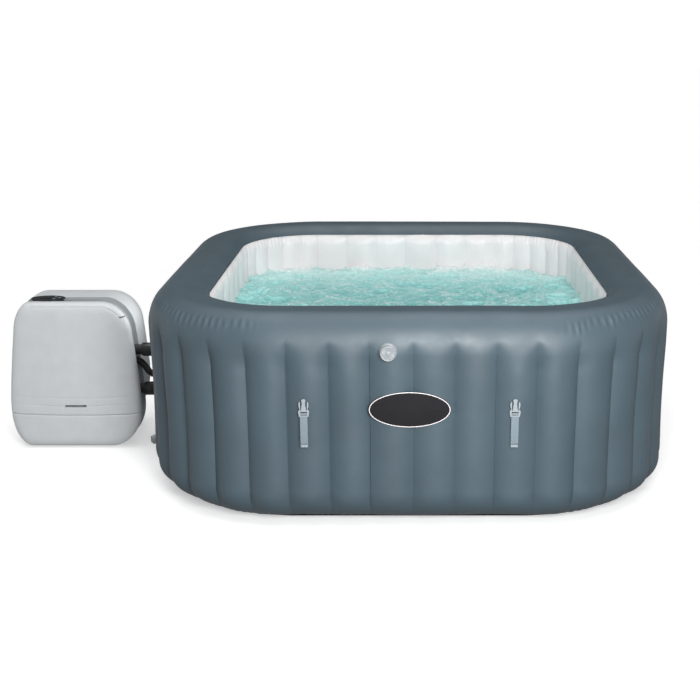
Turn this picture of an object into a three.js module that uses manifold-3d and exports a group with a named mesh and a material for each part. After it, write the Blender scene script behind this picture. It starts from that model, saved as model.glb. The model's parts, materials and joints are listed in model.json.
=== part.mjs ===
// Inflatable hot tub with its pump and heater unit.
//
// Millimetres, +Z up. The origin is the centre of the tub's footprint, on the floor. The tub is a rounded square
// air chamber of welded PVC sheets, held in shape by radial baffles. The pump unit stands on the -X side with its
// service door facing -Y, and two water couplings and an air hose join it to the tub's wall.

import * as THREE from "three";
import { mergeVertices } from "three/addons/utils/BufferGeometryUtils.js";
import Module from "manifold-3d";

const wasm = await Module();
wasm.setup();

// ---------------------------------------------------------------- driving dimensions

const GAP = 0.4; // clearance between pieces that touch

const TUB = {
  half: 900, // half the outside width
  corner: 504, // outside corner radius in plan
  height: 710,
  wall: 223, // thickness of the inflated wall
  skin: 3,
  foot: { width: 165, height: 120 }, // rounding from the floor to the outside wall
  shoulder: { width: 90, height: 90 }, // rounding from the outside wall to the top
  lip: 84, // radius from the top to the inside wall
  waist: 4, // how far the middle of the outside wall draws in
  cornerSteps: 6,
};
const OUTER_SEAM = 13; // degrees up the shoulder where the outside wall meets the top collar
const INNER_SEAM = 35; // degrees up the lip where the inside wall meets the top collar
const RIBS = 48; // chambers round the wall
const RIB_PHASE = 13; // the middle seam of each side stands this far off its centre
const FLOOR_TOP = 7.6; // upper face of the inside floor

const JET = { z: 352, pipe: 24, flange: 40, ball: 19, bore: 15, loop: 16, loopOffset: 150 };
const COUPLING = { y: -106, upperZ: 378, lowerZ: 222, pipe: 19, collar: 21, nut: 24 };
const AIR_LINE = { y: -106, pumpZ: 336, tubZ: 277, hose: 13, nut: 19 };

const PUMP = {
  x: -1261, // centre
  width: 480, // at the foot, it narrows towards the top
  narrowing: 0.1,
  height: 574,
  bottom: 6, // lowest edge of the housings, above the floor
  corners: [
    [120, 150],
    [110, 110],
    [65, 105],
    [74, 160],
  ], // width and height of the rounding at the right foot, right top, left top and left foot
  rearCorners: [
    [190, 270],
    [130, 130],
    [65, 105],
    [74, 160],
  ], // the same for the rear shell, which is rounder on the right
  flare: 0.052, // how far the left side leans out, for each millimetre below flareTop
  flareTop: 460,
  front: -176,
  frontShellBack: -142,
  rearShellFront: -70,
  back: 212,
  skin: 3,
  channel: 18, // depth of the channel between the front and rear shells
  handle: 14, // thickness of the carrying handle
  handleEnd: 518, // height of the handle's two ends
};
const DOOR = { seamEnd: 143, seamMiddle: 134 };
const LATCH = { x: -1264, width: 80, bottom: 142, top: 177, slot: 9 };
const PANEL = { x: -1356, y: -101, z: 578 };

const FILTER = { x: -1340, z: 350, radius: 66, mouth: -108, end: 40 };
const CIRCULATOR = { x: -1345, z: 130, front: 12, volute: 60, motor: 48 };
const HEATER = { x: -1110, y: 60, radius: 28, bottom: 150, top: 400 };
const BLOWER = { x: -1180, y: 60, z: 480, radius: 62, depth: 50 };
const HOSE = 13; // outside radius of the hoses inside the pump unit

// ---------------------------------------------------------------- solids and meshes

// A closed three.js geometry as a manifold solid, without the triangles that collapse at a lathe's poles.
function solid(geometry) {
  const bare = new THREE.BufferGeometry().setAttribute("position", geometry.getAttribute("position"));
  if (geometry.index) bare.setIndex(geometry.index);
  const merged = mergeVertices(bare, 1e-3);
  const triVerts = [];
  const index = merged.index.array;
  for (let i = 0; i < index.length; i += 3) {
    const [a, b, c] = [index[i], index[i + 1], index[i + 2]];
    if (a !== b && b !== c && a !== c) triVerts.push(a, b, c);
  }
  const vertProperties = new Float32Array(merged.attributes.position.array);
  const made = () => new wasm.Manifold({ numProp: 3, vertProperties, triVerts: new Uint32Array(triVerts) });
  if (made().volume() > 0) return made();
  triVerts.reverse(); // the rows ran the other way round, so turn every face over
  return made();
}

function geometryOf(manifold) {
  const mesh = manifold.getMesh();
  return new THREE.BufferGeometry()
    .setAttribute("position", new THREE.BufferAttribute(new Float32Array(mesh.vertProperties), 3))
    .setIndex(new THREE.BufferAttribute(new Uint32Array(mesh.triVerts), 1));
}

const union = (...solids) => solids.reduce((all, s) => all.add(s));

// Rows of points, each row a closed ring, joined into one surface. Rows close on themselves, or end in flat caps.
function loft(rows, closed) {
  const count = rows[0].length;
  const position = rows.flat().flatMap((p) => [p.x, p.y, p.z]);
  const index = [];
  const spans = closed ? rows.length : rows.length - 1;
  for (let r = 0; r < spans; r++) {
    const low = r * count;
    const high = ((r + 1) % rows.length) * count;
    for (let i = 0; i < count; i++) {
      const j = (i + 1) % count;
      index.push(low + i, low + j, high + j, low + i, high + j, high + i);
    }
  }
  if (!closed) {
    const last = (rows.length - 1) * count;
    for (let i = 1; i < count - 1; i++) {
      index.push(0, i + 1, i, last, last + i, last + i + 1);
    }
  }
  return new THREE.BufferGeometry()
    .setAttribute("position", new THREE.Float32BufferAttribute(position, 3))
    .setIndex(index);
}

// A turned piece about a line along +X, +Y or +Z through `at`. The profile is [radius, distance along the line].
function turned(profile, axis, at, segments = 20) {
  const geometry = new THREE.LatheGeometry(
    profile.map(([r, h]) => new THREE.Vector2(r, h)),
    segments,
  );
  if (axis === "x") geometry.rotateZ(-Math.PI / 2);
  if (axis === "z") geometry.rotateX(Math.PI / 2);
  return solid(geometry.translate(...at));
}

function cylinder(radius, from, to, axis, at, segments = 20) {
  return turned([[0, from], [radius, from], [radius, to], [0, to]], axis, at, segments);
}

// A ring about a line: a cylinder with a hole right through.
function ring(outer, inner, from, to, axis, at, segments = 24) {
  return turned(
    [[inner, from], [outer, from], [outer, to], [inner, to], [inner, from]],
    axis,
    at,
    segments,
  );
}

function box(low, high) {
  const size = high.map((h, i) => h - low[i]);
  const centre = high.map((h, i) => (h + low[i]) / 2);
  return solid(new THREE.BoxGeometry(...size).translate(...centre));
}

// A round tube along a smooth line through the points.
function tube(points, radius, steps, sides = 12) {
  const line = new THREE.CatmullRomCurve3(points.map((p) => new THREE.Vector3(...p)), false, "centripetal");
  const section = new THREE.Shape();
  for (let i = 0; i < sides; i++) {
    const a = (2 * Math.PI * i) / sides;
    section[i ? "lineTo" : "moveTo"](radius * Math.cos(a), radius * Math.sin(a));
  }
  return solid(new THREE.ExtrudeGeometry(section, { steps, extrudePath: line }));
}

const MATERIALS = {
  wallPvc: { color: 0x5b6b74, roughness: 0.42 },
  linerPvc: { color: 0xe6e7e9, roughness: 0.4 },
  basePvc: { color: 0x2c3338, roughness: 0.7 },
  housing: { color: 0xc8cccf, roughness: 0.45 },
  channel: { color: 0x9aa0a2, roughness: 0.5 },
  blackGloss: { color: 0x202427, roughness: 0.12 },
  blackPlastic: { color: 0x1b1c1e, roughness: 0.45 },
  whitePlastic: { color: 0xdfe3e4, roughness: 0.35 },
  badge: { color: 0x35353b, roughness: 0.4 },
  webbing: { color: 0x97a6ae, roughness: 0.85 },
  rubber: { color: 0x17181a, roughness: 0.8 },
  steel: { color: 0xb9bcc0, roughness: 0.3, metalness: 1 },
  filterPaper: { color: 0xeef0f0, roughness: 0.95 },
  greyPlastic: { color: 0x6a7276, roughness: 0.5 },
};

const hotTub = new THREE.Group();
hotTub.name = "hot_tub";

function add(name, manifold, material) {
  const mesh = new THREE.Mesh(
    geometryOf(manifold),
    new THREE.MeshStandardMaterial({ metalness: 0, ...MATERIALS[material] }),
  );
  mesh.name = name;
  hotTub.add(mesh);
}

// ---------------------------------------------------------------- the tub's rounded square

const radians = THREE.MathUtils.degToRad;

// The plan outline at an inset from the outside wall, anticlockwise, at height z.
function planOutline(inset, z) {
  const half = TUB.half - inset;
  const radius = Math.max(TUB.corner - inset, 20);
  const points = [];
  for (let quarter = 0; quarter < 4; quarter++) {
    for (let step = 0; step <= TUB.cornerSteps; step++) {
      const a = ((quarter + step / TUB.cornerSteps) * Math.PI) / 2;
      const turn = (quarter * Math.PI) / 2 + Math.PI / 4;
      const reach = (half - radius) * Math.SQRT2;
      points.push(
        new THREE.Vector3(
          reach * Math.cos(turn) + radius * Math.cos(a),
          reach * Math.sin(turn) + radius * Math.sin(a),
          z,
        ),
      );
    }
  }
  return points;
}

// A band round the tub whose section is the closed loop of [inset, z], listed clockwise seen with the inset to the left.
const band = (section) => solid(loft(section.map(([inset, z]) => planOutline(inset, z)), true));

// The line [inset, z] with a second face, one skin further into the wall.
function skinSection(line) {
  const inner = line.map((point, i) => {
    const before = line[Math.max(i - 1, 0)];
    const after = line[Math.min(i + 1, line.length - 1)];
    const along = new THREE.Vector2(after[0] - before[0], after[1] - before[1]).normalize();
    return [point[0] + along.y * TUB.skin, point[1] - along.x * TUB.skin];
  });
  return [...line, ...inner.reverse()];
}

const footPoint = (degrees) => [
  TUB.foot.width * (1 - Math.sin(radians(degrees))),
  TUB.foot.height * (1 - Math.cos(radians(degrees))),
];
const shoulderPoint = (degrees) => [
  TUB.shoulder.width * (1 - Math.cos(radians(degrees))),
  TUB.height - TUB.shoulder.height * (1 - Math.sin(radians(degrees))),
];
const lipPoint = (degrees) => [
  TUB.wall - TUB.lip * (1 - Math.cos(radians(degrees))),
  TUB.height - TUB.lip * (1 - Math.sin(radians(degrees))),
];

// A point on the outside wall a distance along the plan outline from a side's centre, with its outward direction.
function ribSeam(number) {
  const straight = TUB.half - TUB.corner;
  const side = 2 * straight + (Math.PI / 2) * TUB.corner;
  const perSide = RIBS / 4;
  const turn = new THREE.Matrix4().makeRotationZ((Math.floor(number / perSide) * Math.PI) / 2);
  const along = RIB_PHASE + (number % perSide) * (side / perSide);
  const point = new THREE.Vector3(along, -TUB.half, 0);
  const outward = new THREE.Vector3(0, -1, 0);
  if (along > straight) {
    const a = Math.min((along - straight) / TUB.corner, Math.PI / 2) - Math.PI / 2;
    outward.set(Math.cos(a), Math.sin(a), 0);
    point.copy(outward).multiplyScalar(TUB.corner).add(new THREE.Vector3(straight, -straight, 0));
    const past = along - straight - (Math.PI / 2) * TUB.corner;
    if (past > 0) point.y += past;
  }
  return { point: point.applyMatrix4(turn), outward: outward.applyMatrix4(turn) };
}

// ---------------------------------------------------------------- pipes that pass through the wall

const INSIDE_WALL = -(TUB.half - TUB.wall); // x of the inside face of the -X wall
const WALL_FACE = -(TUB.half - TUB.waist); // x of the outside face at mid height
const COUPLING_FACE = -990; // where a pump spigot meets a wall fitting
const DRAIN = { y: -385, z: 118, pipe: 13, cap: 17 };
const AIR_VALVE = { x: -62, z: 600, radius: 25 };

// Jets sit in the middle of a rib, one on each side of the tub.
const JETS = [0, 1, 2, 3].map((side) => ({ along: RIB_PHASE + 198, turn: (side * Math.PI) / 2 }));
// A jet's solid is made on the -Y wall and then turned to its own wall.
const onWall = (manifold, jet) => manifold.rotate([0, 0, THREE.MathUtils.radToDeg(jet.turn)]);
const jetHole = (jet, radius, from, to) =>
  onWall(cylinder(radius, from, to, "y", [jet.along, 0, JET.z], 16), jet);

const holes = {
  upper: (r, from, to) => cylinder(r, from, to, "x", [0, COUPLING.y, COUPLING.upperZ], 18),
  lower: (r, from, to) => cylinder(r, from, to, "x", [0, COUPLING.y, COUPLING.lowerZ], 18),
  air: (r, from, to) => cylinder(r, from, to, "x", [0, AIR_LINE.y, AIR_LINE.tubZ], 16),
  drain: (r, from, to) => cylinder(r, from, to, "x", [0, DRAIN.y, DRAIN.z], 16),
};
const THROUGH = [-960, -600]; // x range that spans the -X wall

// ---------------------------------------------------------------- tub sheets

function outerWall() {
  const line = [15, 32, 50, 70, 90].map(footPoint);
  line.push([TUB.waist, 360], shoulderPoint(0), shoulderPoint(OUTER_SEAM));
  let wall = band(skinSection(line));
  for (const [name, r] of [["upper", COUPLING.pipe + 6], ["lower", COUPLING.pipe + 6], ["air", 16], ["drain", DRAIN.pipe + GAP]]) {
    const past = name === "drain" ? -860 : -880;
    wall = wall.subtract(holes[name](r, -960, past));
  }
  return wall.subtract(cylinder(18.5, -960, -860, "y", [AIR_VALVE.x, 0, AIR_VALVE.z], 18));
}

function topCollar() {
  const line = [OUTER_SEAM + 2, 35, 60, 90].map(shoulderPoint);
  line.push(...[90, 70, 52, INNER_SEAM + 2].map(lipPoint));
  return band(skinSection(line));
}

function innerWall() {
  const line = [INNER_SEAM, 18, 0].map(lipPoint);
  line.push([TUB.wall, FLOOR_TOP + GAP]);
  let wall = band(skinSection(line));
  for (const jet of JETS) wall = wall.subtract(jetHole(jet, JET.pipe + GAP, -720, -660));
  wall = wall.subtract(holes.lower(COUPLING.pipe + GAP, -700, -660));
  return wall.subtract(holes.drain(DRAIN.pipe + GAP, -700, -660));
}

function sheet(inset, low, high) {
  return solid(loft([planOutline(inset, low), planOutline(inset, high)], false));
}

// Radial webs at the rib seams, notched for the supply loop and tied by a narrow tape half way through the wall.
function wallBaffles() {
  const margin = TUB.skin + 3;
  const web = new THREE.Shape();
  web.moveTo(TUB.foot.width, 16);
  web.lineTo(margin + 14, 105);
  web.lineTo(margin + TUB.waist, 560);
  web.lineTo(TUB.wall - margin, 560);
  web.lineTo(TUB.wall - margin, JET.z + 30);
  web.lineTo(JET.loopOffset - 25, JET.z + 30);
  web.lineTo(JET.loopOffset - 25, JET.z - 30);
  web.lineTo(TUB.wall - margin, JET.z - 30);
  web.lineTo(TUB.wall - margin, 16);
  const thickness = 2;
  let all = band([[110, 430], [113, 430], [113, 460], [110, 460]].reverse());
  for (let i = 0; i < RIBS; i++) {
    const { point, outward } = ribSeam(i);
    const plate = new THREE.ExtrudeGeometry(web, { depth: thickness, bevelEnabled: false });
    plate.translate(0, 0, -thickness / 2);
    const inward = outward.clone().negate();
    const up = new THREE.Vector3(0, 0, 1);
    const place = new THREE.Matrix4().makeBasis(inward, up, inward.clone().cross(up)).setPosition(point);
    all = all.add(solid(plate.applyMatrix4(place)));
  }
  return all;
}

// ---------------------------------------------------------------- jets and air channel

function loopSection(radius) {
  const sides = 8;
  return Array.from({ length: sides }, (_, i) => {
    const a = (-2 * Math.PI * (i + 0.5)) / sides;
    return [JET.loopOffset - radius * Math.cos(a), JET.z - radius * Math.sin(a)];
  }).reverse();
}

// The hose round the inside of the chamber, with the four jet bodies that are bonded to it.
function jetSupplyLoop() {
  let loop = band(loopSection(JET.loop));
  const face = -(TUB.half - TUB.wall);
  for (const jet of JETS) {
    const body = turned(
      [
        [0, -(TUB.half - JET.loopOffset)],
        [JET.pipe, -(TUB.half - JET.loopOffset)],
        [JET.pipe, face + GAP],
        [JET.flange, face + GAP],
        [JET.flange, face + 6],
        [JET.ball + 7, face + 10],
        [JET.bore, face + 10],
        [JET.ball + 1, face - 2],
        [JET.ball + 1, face - 14],
        [JET.bore - 4, face - 26],
        [0, face - 26],
      ],
      "y",
      [jet.along, 0, JET.z],
      16,
    );
    loop = loop.add(onWall(body, jet));
  }
  return loop;
}

// A swivelling ball with a through hole and a short spout.
function jetNozzle(jet) {
  const centre = -(TUB.half - TUB.wall) - 7;
  const ball = JET.ball - 0.5;
  const steps = 6;
  const profile = [[7, centre - ball * 0.85]];
  for (let i = 0; i <= steps; i++) {
    const a = radians(-58 + (i * 100) / steps);
    profile.push([ball * Math.cos(a), centre + ball * Math.sin(a)]);
  }
  profile.push([10, centre + 24], [7, centre + 24], [7, centre - ball * 0.85]);
  return onWall(turned(profile, "y", [jet.along, 0, JET.z], 16), jet);
}

// A welded tube of PVC along the foot of the inside wall, which lets air out round the floor.
function airChannel() {
  const out = TUB.wall + GAP;
  const low = FLOOR_TOP + GAP;
  return band([[out, low], [out, low + 62], [out + 14, low + 52], [out + 20, low + 28], [out + 14, low]]);
}

// ---------------------------------------------------------------- fittings on the tub's walls

// A pipe through the wall with a collar that the coupling nut pulls against the pump's spigot.
function wallFitting(height, innerEnd) {
  const p = COUPLING.pipe;
  return turned(
    [
      [p - 4, COUPLING_FACE + GAP],
      [COUPLING.collar, COUPLING_FACE + GAP],
      [COUPLING.collar, COUPLING_FACE + 12],
      [p, COUPLING_FACE + 12],
      [p, WALL_FACE - 14],
      [33, WALL_FACE - 9],
      [33, WALL_FACE - 5],
      [p + 5, WALL_FACE - 5],
      [p + 5, WALL_FACE + 16],
      [p, WALL_FACE + 16],
      [p, innerEnd],
      [p - 4, innerEnd],
      [p - 4, COUPLING_FACE + GAP],
    ],
    "x",
    [0, COUPLING.y, height],
    24,
  );
}

function couplingNut(height) {
  let nut = turned(
    [
      [COUPLING.collar + 0.8, -1014],
      [COUPLING.nut - 1.5, -1014],
      [COUPLING.nut, -1012],
      [COUPLING.nut, -974],
      [COUPLING.nut - 2, -971],
      [COUPLING.pipe + 0.8, -971],
      [COUPLING.pipe + 0.8, COUPLING_FACE + 13],
      [COUPLING.collar + 0.8, COUPLING_FACE + 13],
      [COUPLING.collar + 0.8, -1014],
    ],
    "x",
    [0, COUPLING.y, height],
    24,
  );
  for (const a of [0, 60, 120, 180, 240, 300]) {
    const lug = box([-1010, -3, COUPLING.nut - 1], [-976, 3, COUPLING.nut + 2]);
    nut = nut.add(lug.rotate([a, 0, 0]).translate([0, COUPLING.y, height]));
  }
  return nut;
}

// Inside the chamber the air line drops to the channel at the foot of the inside wall.
function airPipe(radius) {
  return tube(
    [
      [-886, AIR_LINE.y, AIR_LINE.tubZ],
      [-862, AIR_LINE.y + 4, AIR_LINE.tubZ],
      [-832, AIR_LINE.y + 40, AIR_LINE.tubZ - 6],
      [-806, AIR_LINE.y + 62, 222],
      [-782, AIR_LINE.y + 67, 120],
      [-748, AIR_LINE.y + 67, 62],
      [INSIDE_WALL - TUB.skin - 6, AIR_LINE.y + 67, 42],
    ],
    radius,
    14,
    10,
  );
}

function airWallFitting() {
  const spigot = turned(
    [
      [0, -945],
      [AIR_LINE.hose, -945],
      [AIR_LINE.hose, WALL_FACE - 10],
      [19, WALL_FACE - 8],
      [19, WALL_FACE - 5],
      [AIR_LINE.hose + 2, WALL_FACE - 5],
      [AIR_LINE.hose + 2, -880],
      [0, -880],
    ],
    "x",
    [0, AIR_LINE.y, AIR_LINE.tubZ],
    18,
  );
  return spigot.add(airPipe(AIR_LINE.hose - 1));
}

// The convoluted hose from the blower's duct down to the air fitting, and the collar that holds its end.
function airHose() {
  return tube(
    [
      [-1074, AIR_LINE.y, AIR_LINE.pumpZ],
      [-1056, AIR_LINE.y, AIR_LINE.pumpZ],
      [-1040, AIR_LINE.y, AIR_LINE.pumpZ],
      [-1025, AIR_LINE.y, AIR_LINE.pumpZ - 5],
      [-1008, AIR_LINE.y, AIR_LINE.pumpZ - 22],
      [-994, AIR_LINE.y, AIR_LINE.tubZ + 15],
      [-978, AIR_LINE.y, AIR_LINE.tubZ + 3],
      [-962, AIR_LINE.y, AIR_LINE.tubZ],
      [-945.5, AIR_LINE.y, AIR_LINE.tubZ],
    ],
    AIR_LINE.hose,
    16,
    12,
  );
}

function airNut() {
  const inner = AIR_LINE.hose + 0.9;
  let nut = ring(AIR_LINE.nut, inner, -957, -929, "x", [0, AIR_LINE.y, AIR_LINE.tubZ], 20);
  for (const a of [0, 90, 180, 270]) {
    const lug = box([-955, -3, AIR_LINE.nut - 1], [-931, 3, AIR_LINE.nut + 2]);
    nut = nut.add(lug.rotate([a, 0, 0]).translate([0, AIR_LINE.y, AIR_LINE.tubZ]));
  }
  return nut;
}

// A domed grating over the suction pipe, with slots.
function suctionScreen() {
  const face = INSIDE_WALL;
  const at = [0, COUPLING.y, COUPLING.lowerZ];
  let screen = turned(
    [
      [COUPLING.pipe + 4, face + GAP],
      [46, face + GAP],
      [46, face + 5],
      [36, face + 20],
      [0, face + 22],
      [0, face + 18],
      [33, face + 16],
      [COUPLING.pipe + 4, face + 8],
      [COUPLING.pipe + 4, face + GAP],
    ],
    "x",
    at,
    20,
  );
  for (const dz of [-21, -7, 7, 21]) {
    const reach = dz * dz > 200 ? 14 : 26;
    screen = screen.subtract(
      box([face + 10, COUPLING.y - reach, COUPLING.lowerZ + dz - 2.5], [face + 30, COUPLING.y + reach, COUPLING.lowerZ + dz + 2.5]),
    );
  }
  return screen;
}

function airValveBody() {
  const face = -TUB.half;
  return turned(
    [
      [10, face - 7],
      [17.5, face - 7],
      [17.5, face - 4.6],
      [32, face - 4.2],
      [32, face - 1.8],
      [18, face - 1.8],
      [18, face + 22],
      [6, face + 22],
      [6, face + 6],
      [10, face + 4],
      [10, face - 7],
    ],
    "y",
    [AIR_VALVE.x, 0, AIR_VALVE.z],
    20,
  );
}

function airValveCap() {
  const face = -TUB.half;
  let cap = turned(
    [
      [0, face - 21],
      [AIR_VALVE.radius - 4, face - 21],
      [AIR_VALVE.radius, face - 17],
      [AIR_VALVE.radius, face - 5.2],
      [19, face - 5.2],
      [19, face - 9],
      [0, face - 9],
    ],
    "y",
    [AIR_VALVE.x, 0, AIR_VALVE.z],
    24,
  );
  const grip = box([-3, face - 27, -18], [3, face - 20, 18]);
  return cap.add(grip.translate([AIR_VALVE.x, 0, AIR_VALVE.z]));
}

function drainValveBody() {
  const face = -TUB.half;
  return turned(
    [
      [DRAIN.pipe - 4, face - 20],
      [DRAIN.pipe, face - 20],
      [DRAIN.pipe, face - 6],
      [27, face - 4],
      [27, face - 1.5],
      [DRAIN.pipe, face - 1.5],
      [DRAIN.pipe, INSIDE_WALL + 1],
      [DRAIN.pipe - 4, INSIDE_WALL + 1],
      [DRAIN.pipe - 4, face - 20],
    ],
    "x",
    [0, DRAIN.y, DRAIN.z],
    20,
  );
}

function drainCap() {
  const face = -TUB.half;
  const cap = turned(
    [
      [0, face - 30],
      [DRAIN.cap - 3, face - 30],
      [DRAIN.cap, face - 27],
      [DRAIN.cap, face - 8],
      [DRAIN.pipe + 0.8, face - 8],
      [DRAIN.pipe + 0.8, face - 21],
      [0, face - 21],
    ],
    "x",
    [0, DRAIN.y, DRAIN.z],
    20,
  );
  const grip = box([face - 36, -2, -12], [face - 29, 2, 12]);
  return cap.add(grip.translate([0, DRAIN.y, DRAIN.z]));
}

// ---------------------------------------------------------------- badge, straps and buckles on the front wall

const FRONT_FACE = -(TUB.half - TUB.waist);
const BADGE = { x: 5, z: 411, width: 257, height: 117, front: FRONT_FACE - 9, thick: 4 };
const STRAP = { offset: 331, centre: 4, bottom: 290, top: 391, width: 26, thick: 1.8 };
const BUCKLE = { width: 34, bottom: 385, body: 410, top: 449, thick: 7 };

function badgePlate() {
  const oval = new THREE.Shape();
  oval.absellipse(0, 0, BADGE.width / 2, BADGE.height / 2, 0, Math.PI * 2);
  const plate = new THREE.ExtrudeGeometry(oval, { depth: BADGE.thick, bevelEnabled: false, curveSegments: 20 });
  return solid(plate.rotateX(Math.PI / 2).translate(BADGE.x, BADGE.front + BADGE.thick, BADGE.z));
}

// Webbing from its weld on the wall, up through the buckle's slot and down again to a loose hemmed end.
function coverStrap(side) {
  const x = STRAP.centre + side * STRAP.offset;
  const back = FRONT_FACE - 6;
  const t = STRAP.thick;
  const loop = new THREE.Shape();
  loop.moveTo(back, STRAP.bottom + 2);
  loop.lineTo(back, STRAP.top);
  loop.lineTo(back - 2, STRAP.top + 3);
  loop.lineTo(back - 10, STRAP.top + 3);
  loop.lineTo(back - 12, STRAP.top);
  loop.lineTo(back - 12, STRAP.bottom);
  loop.lineTo(back - 12 + 2 * t, STRAP.bottom);
  loop.lineTo(back - 12 + 2 * t, STRAP.bottom + 8);
  loop.lineTo(back - 12 + t, STRAP.bottom + 10);
  loop.lineTo(back - 12 + t, STRAP.top - 1);
  loop.lineTo(back - 9.5, STRAP.top + 3 - t);
  loop.lineTo(back - 2.5, STRAP.top + 3 - t);
  loop.lineTo(back - t, STRAP.top - 1);
  loop.lineTo(back - t, STRAP.bottom + 2);
  const webbing = new THREE.ExtrudeGeometry(loop, { depth: STRAP.width, bevelEnabled: false });
  webbing.rotateX(Math.PI / 2).rotateZ(Math.PI / 2);
  return solid(webbing.translate(x - STRAP.width / 2, 0, 0));
}

// The plug half of a side release buckle: a frame with two bars, a middle guide and two prongs.
function coverBuckle(side) {
  const x = STRAP.centre + side * STRAP.offset;
  const y = FRONT_FACE - 12; // the middle of the buckle's thickness
  const half = BUCKLE.width / 2;
  const block = (x0, x1, z0, z1, depth) => box([x + x0, y - depth / 2, z0], [x + x1, y + depth / 2, z1]);
  const slotTop = block(-half + 3.5, half - 3.5, 400, 405, 40);
  const slotLow = block(-half + 3.5, half - 3.5, 388.5, 396, 40);
  const prong = new THREE.Shape();
  prong.moveTo(half - 5, BUCKLE.body - 1);
  prong.lineTo(half - 0.5, BUCKLE.body - 1);
  prong.lineTo(half - 1.5, 426);
  prong.lineTo(half + 1, 430);
  prong.lineTo(half, 440);
  prong.lineTo(half - 4, 442);
  prong.lineTo(half - 6, 430);
  const right = solid(
    new THREE.ExtrudeGeometry(prong, { depth: BUCKLE.thick - 2, bevelEnabled: false })
      .rotateX(Math.PI / 2)
      .translate(x, y + (BUCKLE.thick - 2) / 2, 0),
  );
  const left = right.translate([-x, 0, 0]).mirror([1, 0, 0]).translate([x, 0, 0]);
  return union(
    block(-half, half, BUCKLE.bottom, BUCKLE.body, BUCKLE.thick),
    block(-4, 4, BUCKLE.body - 1, BUCKLE.top, BUCKLE.thick - 3),
    left,
    right,
  )
    .subtract(slotTop)
    .subtract(slotLow);
}

// ---------------------------------------------------------------- pump unit housings

const toFront = (z) => 1 - PUMP.narrowing * Math.max((z - 200) / 300, 0) ** 1.3;

// The outline of the pump unit at depth y, drawn in by `inset`, with its foot raised by `lift`.
function pumpOutline(y, inset, lift = inset, corners = PUMP.corners) {
  const half = PUMP.width / 2 - inset;
  const low = PUMP.bottom + lift;
  const high = PUMP.height - inset;
  const points = [];
  corners.forEach(([width, height], corner) => {
    const rx = Math.max(width - inset, 14);
    const rz = Math.max(height - inset, 14);
    const right = corner < 2 ? 1 : -1;
    const up = corner === 1 || corner === 2 ? 1 : -1;
    const steps = 5;
    for (let i = 0; i <= steps; i++) {
      const a = ((corner - 1 + i / steps) * Math.PI) / 2;
      const x = right * (half - rx) + rx * Math.cos(a);
      const z = (up > 0 ? high - rz : low + rz) + rz * Math.sin(a);
      const lean = x < 0 ? (PUMP.flare * Math.max(PUMP.flareTop - z, 0) * x) / half : 0;
      points.push(new THREE.Vector3(PUMP.x + x * toFront(z) + lean, y, z));
    }
  });
  return points;
}

const pumpBlock = (rows, corners) =>
  solid(loft(rows.map(([y, inset, lift]) => pumpOutline(y, inset, lift, corners)), false));

// The bulged front, as one block and as the hollow inside it.
const FRONT_ROWS = [
  [PUMP.frontShellBack, 0],
  [-160, 2],
  [-170, 12],
  [-175, 30],
  [PUMP.front, 58],
];
const frontHollow = () =>
  pumpBlock(FRONT_ROWS.map(([y, inset], i) => [i ? y + PUMP.skin : y + 1, inset + (i < 4 ? PUMP.skin : 0)]));
const frontSkin = () => pumpBlock(FRONT_ROWS).subtract(frontHollow());

// Everything below the door's curved lower edge, with the edge moved by `shift`.
function belowSeam(shift) {
  const half = PUMP.width / 2 + 20;
  const shape = new THREE.Shape();
  shape.moveTo(PUMP.x - half, -10);
  shape.lineTo(PUMP.x + half, -10);
  for (let i = 0; i <= 12; i++) {
    const t = 1 - i / 6;
    const rise = (DOOR.seamEnd - DOOR.seamMiddle) * t * t;
    shape.lineTo(PUMP.x + half * t, DOOR.seamMiddle + rise + shift);
  }
  return solid(new THREE.ExtrudeGeometry(shape, { depth: 60, bevelEnabled: false })
    .rotateX(Math.PI / 2)
    .translate(0, -130, 0));
}

// The region outside the handle's inner edge, above the handle's ends.
function handleRegion(clearance) {
  const inner = [-200, -120].map((y) => [y, PUMP.handle + clearance]);
  return box([-1560, -190, PUMP.handleEnd - clearance], [-960, -130, 600]).subtract(pumpBlock(inner));
}

function carryHandle() {
  const bar = pumpBlock([
    [PUMP.frontShellBack - GAP, 0.5],
    [-158, 1],
    [-164, 4],
    [-167, 9],
  ]);
  return bar.intersect(handleRegion(0));
}

function serviceDoor() {
  const latchHole = box(
    [LATCH.x - LATCH.width / 2, -190, LATCH.bottom],
    [LATCH.x + LATCH.width / 2, -165, LATCH.top],
  );
  return frontSkin().subtract(belowSeam(GAP)).subtract(handleRegion(0.8)).subtract(latchHole);
}

// The fixed lower front and the wall behind the door, with the round way in to the filter.
function lowerFrontShell() {
  const back = PUMP.frontShellBack + GAP;
  const wall = pumpBlock([[back, 0], [back + PUMP.skin, 0]]);
  const lower = frontSkin().intersect(belowSeam(0)).add(
    pumpBlock([[PUMP.frontShellBack - 4, 3], [back + 1, 3]]).intersect(belowSeam(-3)),
  );
  const way = cylinder(80, -160, -120, "y", [FILTER.x, 0, FILTER.z], 28);
  return wall.subtract(way).add(lower);
}

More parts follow.
